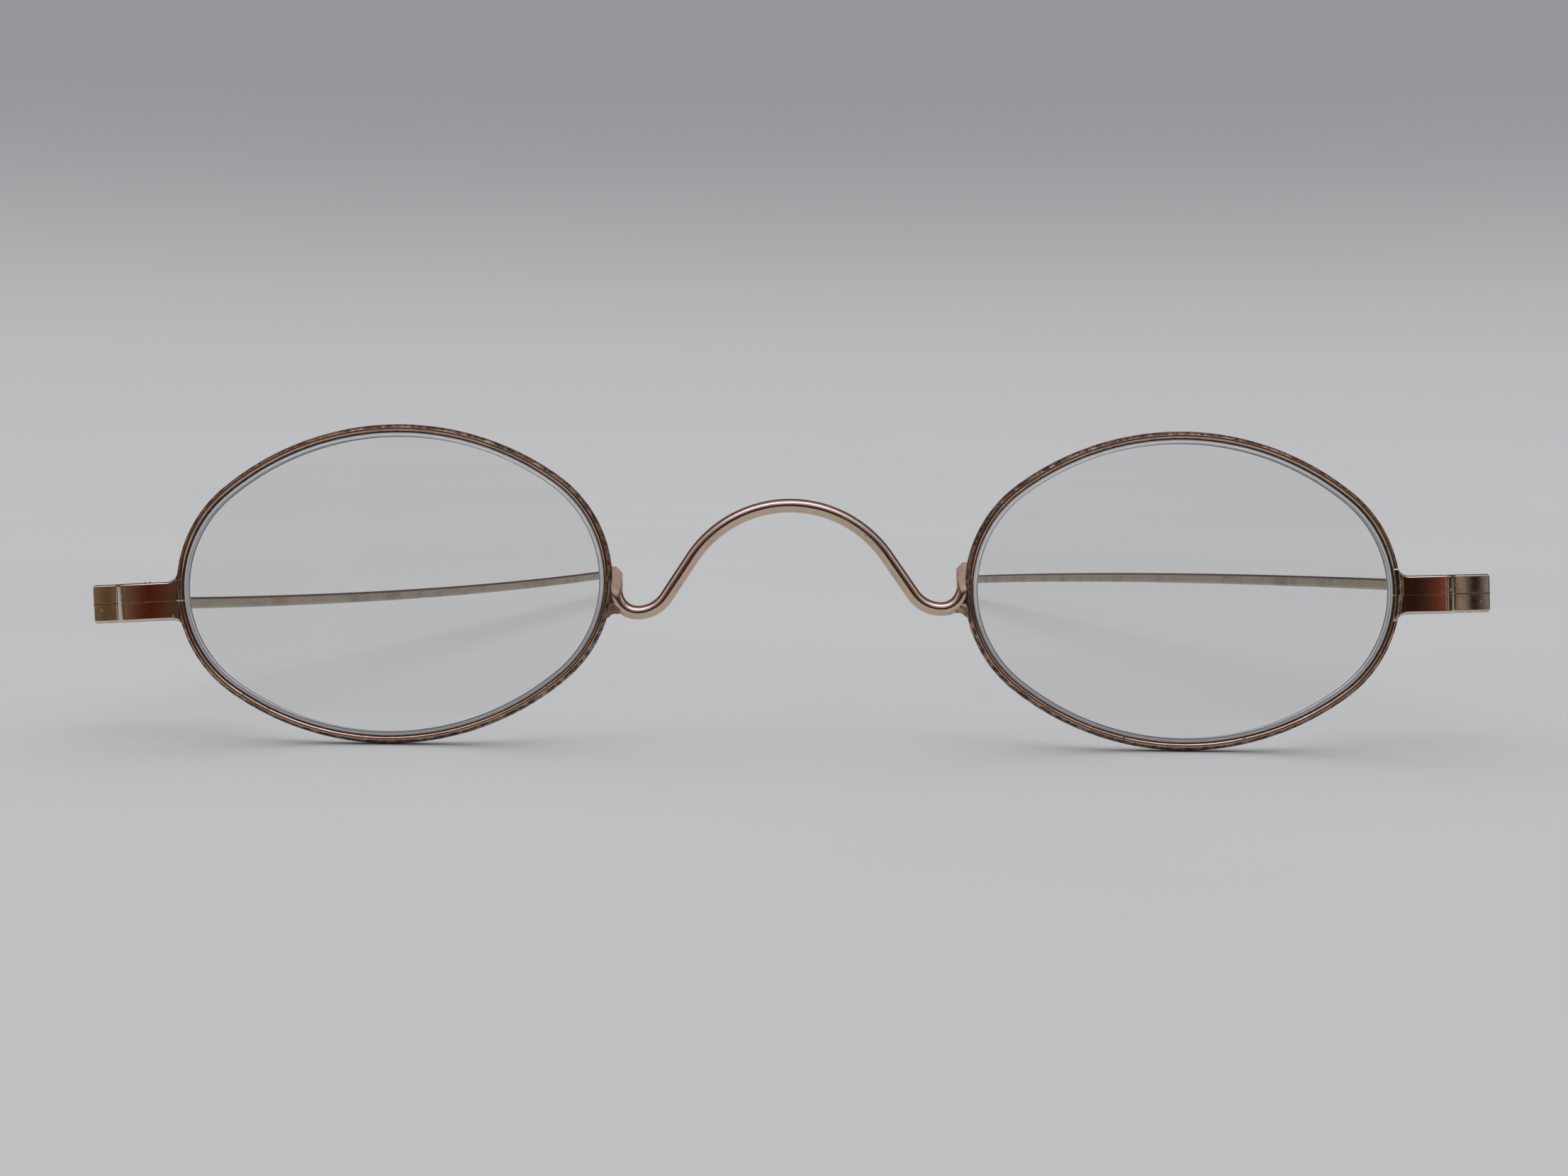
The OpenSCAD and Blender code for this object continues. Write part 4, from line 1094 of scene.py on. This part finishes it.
def head_rings(side):
    """The head cut into upright slices: each slice is the dome's arc, lowered to the slot's floor
    between the slot's walls, over a flat base."""
    head_h = HEAD_H[side]
    dome_r = (HEAD_R ** 2 + head_h ** 2) / (2 * head_h)
    spread = HEAD_R * np.sin(np.linspace(-1, 1, HEAD_SLICES) * HEAD_SPREAD)
    spread = spread[np.abs(np.abs(spread) - SLOT_HALF) > SLOT_CLEAR]
    wall = SLOT_HALF + SLOT_WALL
    y = np.sort(np.concatenate([spread, [-wall, -SLOT_HALF, SLOT_HALF, wall]]))[:, None]
    share = np.sin(np.linspace(-1, 1, HEAD_COLUMNS) * math.pi / 2)[None]
    x = np.sqrt(np.maximum(HEAD_R ** 2 - y ** 2, HEAD_LEAST)) * share
    dome = np.sqrt(np.maximum(dome_r ** 2 - x ** 2 - y ** 2, 0)) - dome_r + head_h
    top = np.where(np.abs(y) <= SLOT_HALF, np.minimum(dome, head_h - SLOT_DEPTH), dome)
    x, y = turned(x, y, SLOT_TURN[side])
    upper = xyz(x, y, EAR_HIGH + np.maximum(top, 0) + HEAD_SEAT)
    return np.concatenate([upper, xyz(x, y, EAR_HIGH)[:, ::-1]], axis=1)


def shank_rings():
    """A round shank whose last part closes in on a quarter of a circle."""
    tip = np.linspace(0, math.pi / 2, TIP_COUNT)
    z = np.concatenate([TIP_ROUND * (1 - np.cos(tip)) - EAR_HIGH - SCREW_TIP, [0.0, EAR_HIGH]])
    radius = np.concatenate([SCREW_R - TIP_ROUND * (1 - np.sin(tip)), [SCREW_R, SCREW_R]])
    angle = np.arange(SHANK_ROUND) / SHANK_ROUND * 2 * math.pi
    x = radius[:, None] * np.cos(angle)
    return xyz(x, radius[:, None] * np.sin(angle), z[:, None])


screw_steel = gilt(
    "screw_steel", metal=(0.56, 0.54, 0.51), tarnish=(0.3, 0.22, 0.16), dirt_and_shade=(0.06, 0.035, 0.02),
    amount=0.5, pits=0.5, polish=0.24,
)
for side in SIDES:
    for part, shape in (("head", head_rings(side)), ("shank", shank_rings())):
        screw_points = beside_joint(shape, side)
        screw = skin(f"{side}_screw_{part}", screw_points, SCREW_GRIME, screw_steel, crease=25)
        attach(screw, "front")
        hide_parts(f"{side}_joint_screw")

# Temple joints
# Each temple ends in front in a filed block, the heel, which stops against the back of the lip.
# From the heel a round-ended tongue goes in between the two ears and turns about the screw.
TONGUE_HALF = 0.4
TONGUE_EDGE = 0.06
TONGUE_GRIME = 0.3
HEEL_MID = 2.85
HEEL_FRONT = -1.45
HEEL_BACK = 2.0
HEEL_LENGTH = HEEL_BACK - HEEL_FRONT
HEEL_HALF_W = 0.9
HEEL_HALF_H = 1.1
HEEL_END_W = 0.5
HEEL_END_H = 0.68
HEEL_EDGE = 0.12
HEEL_ROUND = 0.09
HEEL_COUNTS = (7, 40)
HEEL_PLAIN = (0.05, 0.5)
HEEL_GRIME = 0.12
ARM_UP = {"left": 0.0, "right": 0.35}


def tongue_rings():
    """The tongue: a round end about the screw with a straight part out into the heel."""
    angles = plate_angles([EAR_R, -EAR_R], [HEEL_MID, HEEL_MID])
    cos, sin = np.cos(angles), np.sin(angles)
    to_heel = HEEL_MID / np.maximum(cos, TINY)
    straight = np.minimum(to_heel, EAR_R / np.maximum(np.abs(sin), TINY))
    reach = np.where(cos > 0, np.maximum(EAR_R, straight), EAR_R)
    return star_plate(reach, -TONGUE_HALF, TONGUE_HALF, TONGUE_EDGE, angles)


def heel_rings(side):
    """The heel: a bar with soft edges, full at the lip, filed down to the arm on a smooth curve."""
    fine, even = HEEL_COUNTS
    ends = HEEL_ROUND * (1 - np.cos(np.linspace(0, math.pi / 2, fine)))
    share = np.concatenate([ends / HEEL_LENGTH, np.linspace(HEEL_PLAIN[0], 1, even)])
    shrink = rounding(HEEL_ROUND - np.minimum(share * HEEL_LENGTH, HEEL_ROUND), HEEL_ROUND)
    filed = smooth(part_way(share, HEEL_PLAIN[1], 1))
    half_w = HEEL_HALF_W + (HEEL_END_W - HEEL_HALF_W) * filed - shrink
    half_h = HEEL_HALF_H + (HEEL_END_H - HEEL_HALF_H) * filed - shrink
    offsets = soft_bar(half_w, half_h, HEEL_EDGE)
    y = (HEEL_FRONT + HEEL_LENGTH * share)[:, None]
    return xyz(HEEL_MID + offsets[..., 0], y, (ARM_UP[side] * filed)[:, None] + offsets[..., 1])


for side in SIDES:
    tongue_points = beside_joint(tongue_rings(), side)
    tongue = skin(f"{side}_tongue", tongue_points, TONGUE_GRIME, gilt_strip, closed=True)
    heel = skin(f"{side}_heel", beside_joint(heel_rings(side), side), HEEL_GRIME, gilt_strip)
    for piece in (tongue, heel):
        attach(piece, f"{side}_arm")
        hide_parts(f"{side}_temple_joint")

# Temples
# Each arm is a long drawn wire of flattened section, a little bowed by use. It runs back and inward
# from the heel, droops over its last part behind the ear, and is rounded at the tip.
ARM_HALF_T = 0.35
ARM_HALF_H = 0.5
ARM_ROUND = 0.2
ARM_INWARD = math.radians(11.8)
ARM_LENGTH = {"left": 141.0, "right": 140.803}
ARM_BOW = {"left": -0.8, "right": 0.5}
EAR_END = 14.0
ELBOW_H = 3.1
ELBOW_R = 30.0
ARM_STEP = 0.4
ARM_FINE_STEPS = 8000
ARM_TIP_IN = 0.52
ARM_TIP_COUNT = 12
ARM_TIP_START = 0.02
ARM_TIP_MOST = 0.4999
ARM_GRIME = (8, 0, 0.4)


def arm_line(side, start_height):
    """Run and rise of the arm's middle line in its own upright plane, with its downward slope and
    the length left over to the tip.

    The slope grows evenly along the bow, evenly and faster round the elbow, and then stays. The line
    is the running sum of small steps along the slope.
    """
    bend_point = np.array([ARM_LENGTH[side] - EAR_END, ELBOW_H - start_height])
    chord = np.linalg.norm(bend_point)
    chord_slope = -math.atan2(bend_point[1], bend_point[0])
    bow = 2 * math.atan(2 * ARM_BOW[side] / chord)
    tip = np.array([ARM_LENGTH[side] - ARM_TIP_IN, ARM_TIP_IN - start_height])
    end_slope = chord_slope + bow
    to_tip = tip - bend_point + ELBOW_R * np.array([math.sin(end_slope), math.cos(end_slope)])
    straight = math.sqrt(to_tip @ to_tip - ELBOW_R ** 2)
    ear_slope = math.atan2(ELBOW_R, straight) - math.atan2(to_tip[1], to_tip[0])
    lengths = [0, chord * bow / math.sin(bow), ELBOW_R * (ear_slope - end_slope), straight + ARM_HALF_H]
    knots = np.cumsum(lengths)
    far = knots[-1]
    tip_turn = np.linspace(ARM_TIP_START, math.pi / 2, ARM_TIP_COUNT)
    left_over = np.concatenate([
        far - np.linspace(0, far - ARM_TIP_IN, int(far / ARM_STEP)),
        ARM_HALF_H * (1 - np.sin(tip_turn)),
    ])
    fine = np.linspace(0, far, ARM_FINE_STEPS + 1)
    slopes = np.interp(fine, knots, [chord_slope - bow, end_slope, ear_slope, ear_slope])
    middle = (slopes[1:] + slopes[:-1]) / 2
    step = np.diff(fine)
    run = np.concatenate([[0], np.cumsum(step * np.cos(middle))])
    climb = np.concatenate([[0], np.cumsum(-step * np.sin(middle))])
    return [np.interp(far - left_over, fine, values) for values in (run, climb, slopes)] + [left_over]


def arm_rings(side):
    """Flattened section with round edges, carried along the arm's line and closed at the tip on a
    half circle seen from the side."""
    way = SIDES[side]
    start = beside_joint(np.array([HEEL_MID, HEEL_BACK, ARM_UP[side]]), side)
    run, climb, slope, left_over = arm_line(side, start[2])
    closing = np.clip(ARM_HALF_H - left_over, 0, ARM_TIP_MOST)
    half_h = np.sqrt(ARM_HALF_H ** 2 - closing ** 2)
    offsets = soft_bar(np.full(len(run), ARM_HALF_T), half_h, np.minimum(ARM_ROUND, half_h * EDGE_KEPT))
    back = np.array([-way * math.sin(ARM_INWARD), math.cos(ARM_INWARD), 0])
    outward = np.array([way * math.cos(ARM_INWARD), math.sin(ARM_INWARD), 0])
    up = np.array([0, 0, 1.0])
    over = np.sin(slope)[:, None] * back + np.cos(slope)[:, None] * up
    middle = start + run[:, None] * back + climb[:, None] * up
    return middle[:, None] + offsets[..., :1] * outward + offsets[..., 1:] * over[:, None]


gilt_arm = gilt(
    "gilt_arm", metal=(0.53, 0.465, 0.385), tarnish=(0.3, 0.26, 0.18), dirt_and_shade=(0.05, 0.032, 0.02),
    amount=0.35, pits=0.4, polish=0.44,
)
for side in SIDES:
    arm_points = arm_rings(side)
    arm_dirt = part_way(np.arange(len(arm_points)), *ARM_GRIME)[:, None]
    arm = skin(f"{side}_arm_wire", arm_points, arm_dirt, gilt_arm)
    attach(arm, f"{side}_arm")
    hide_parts(f"{side}_temple")
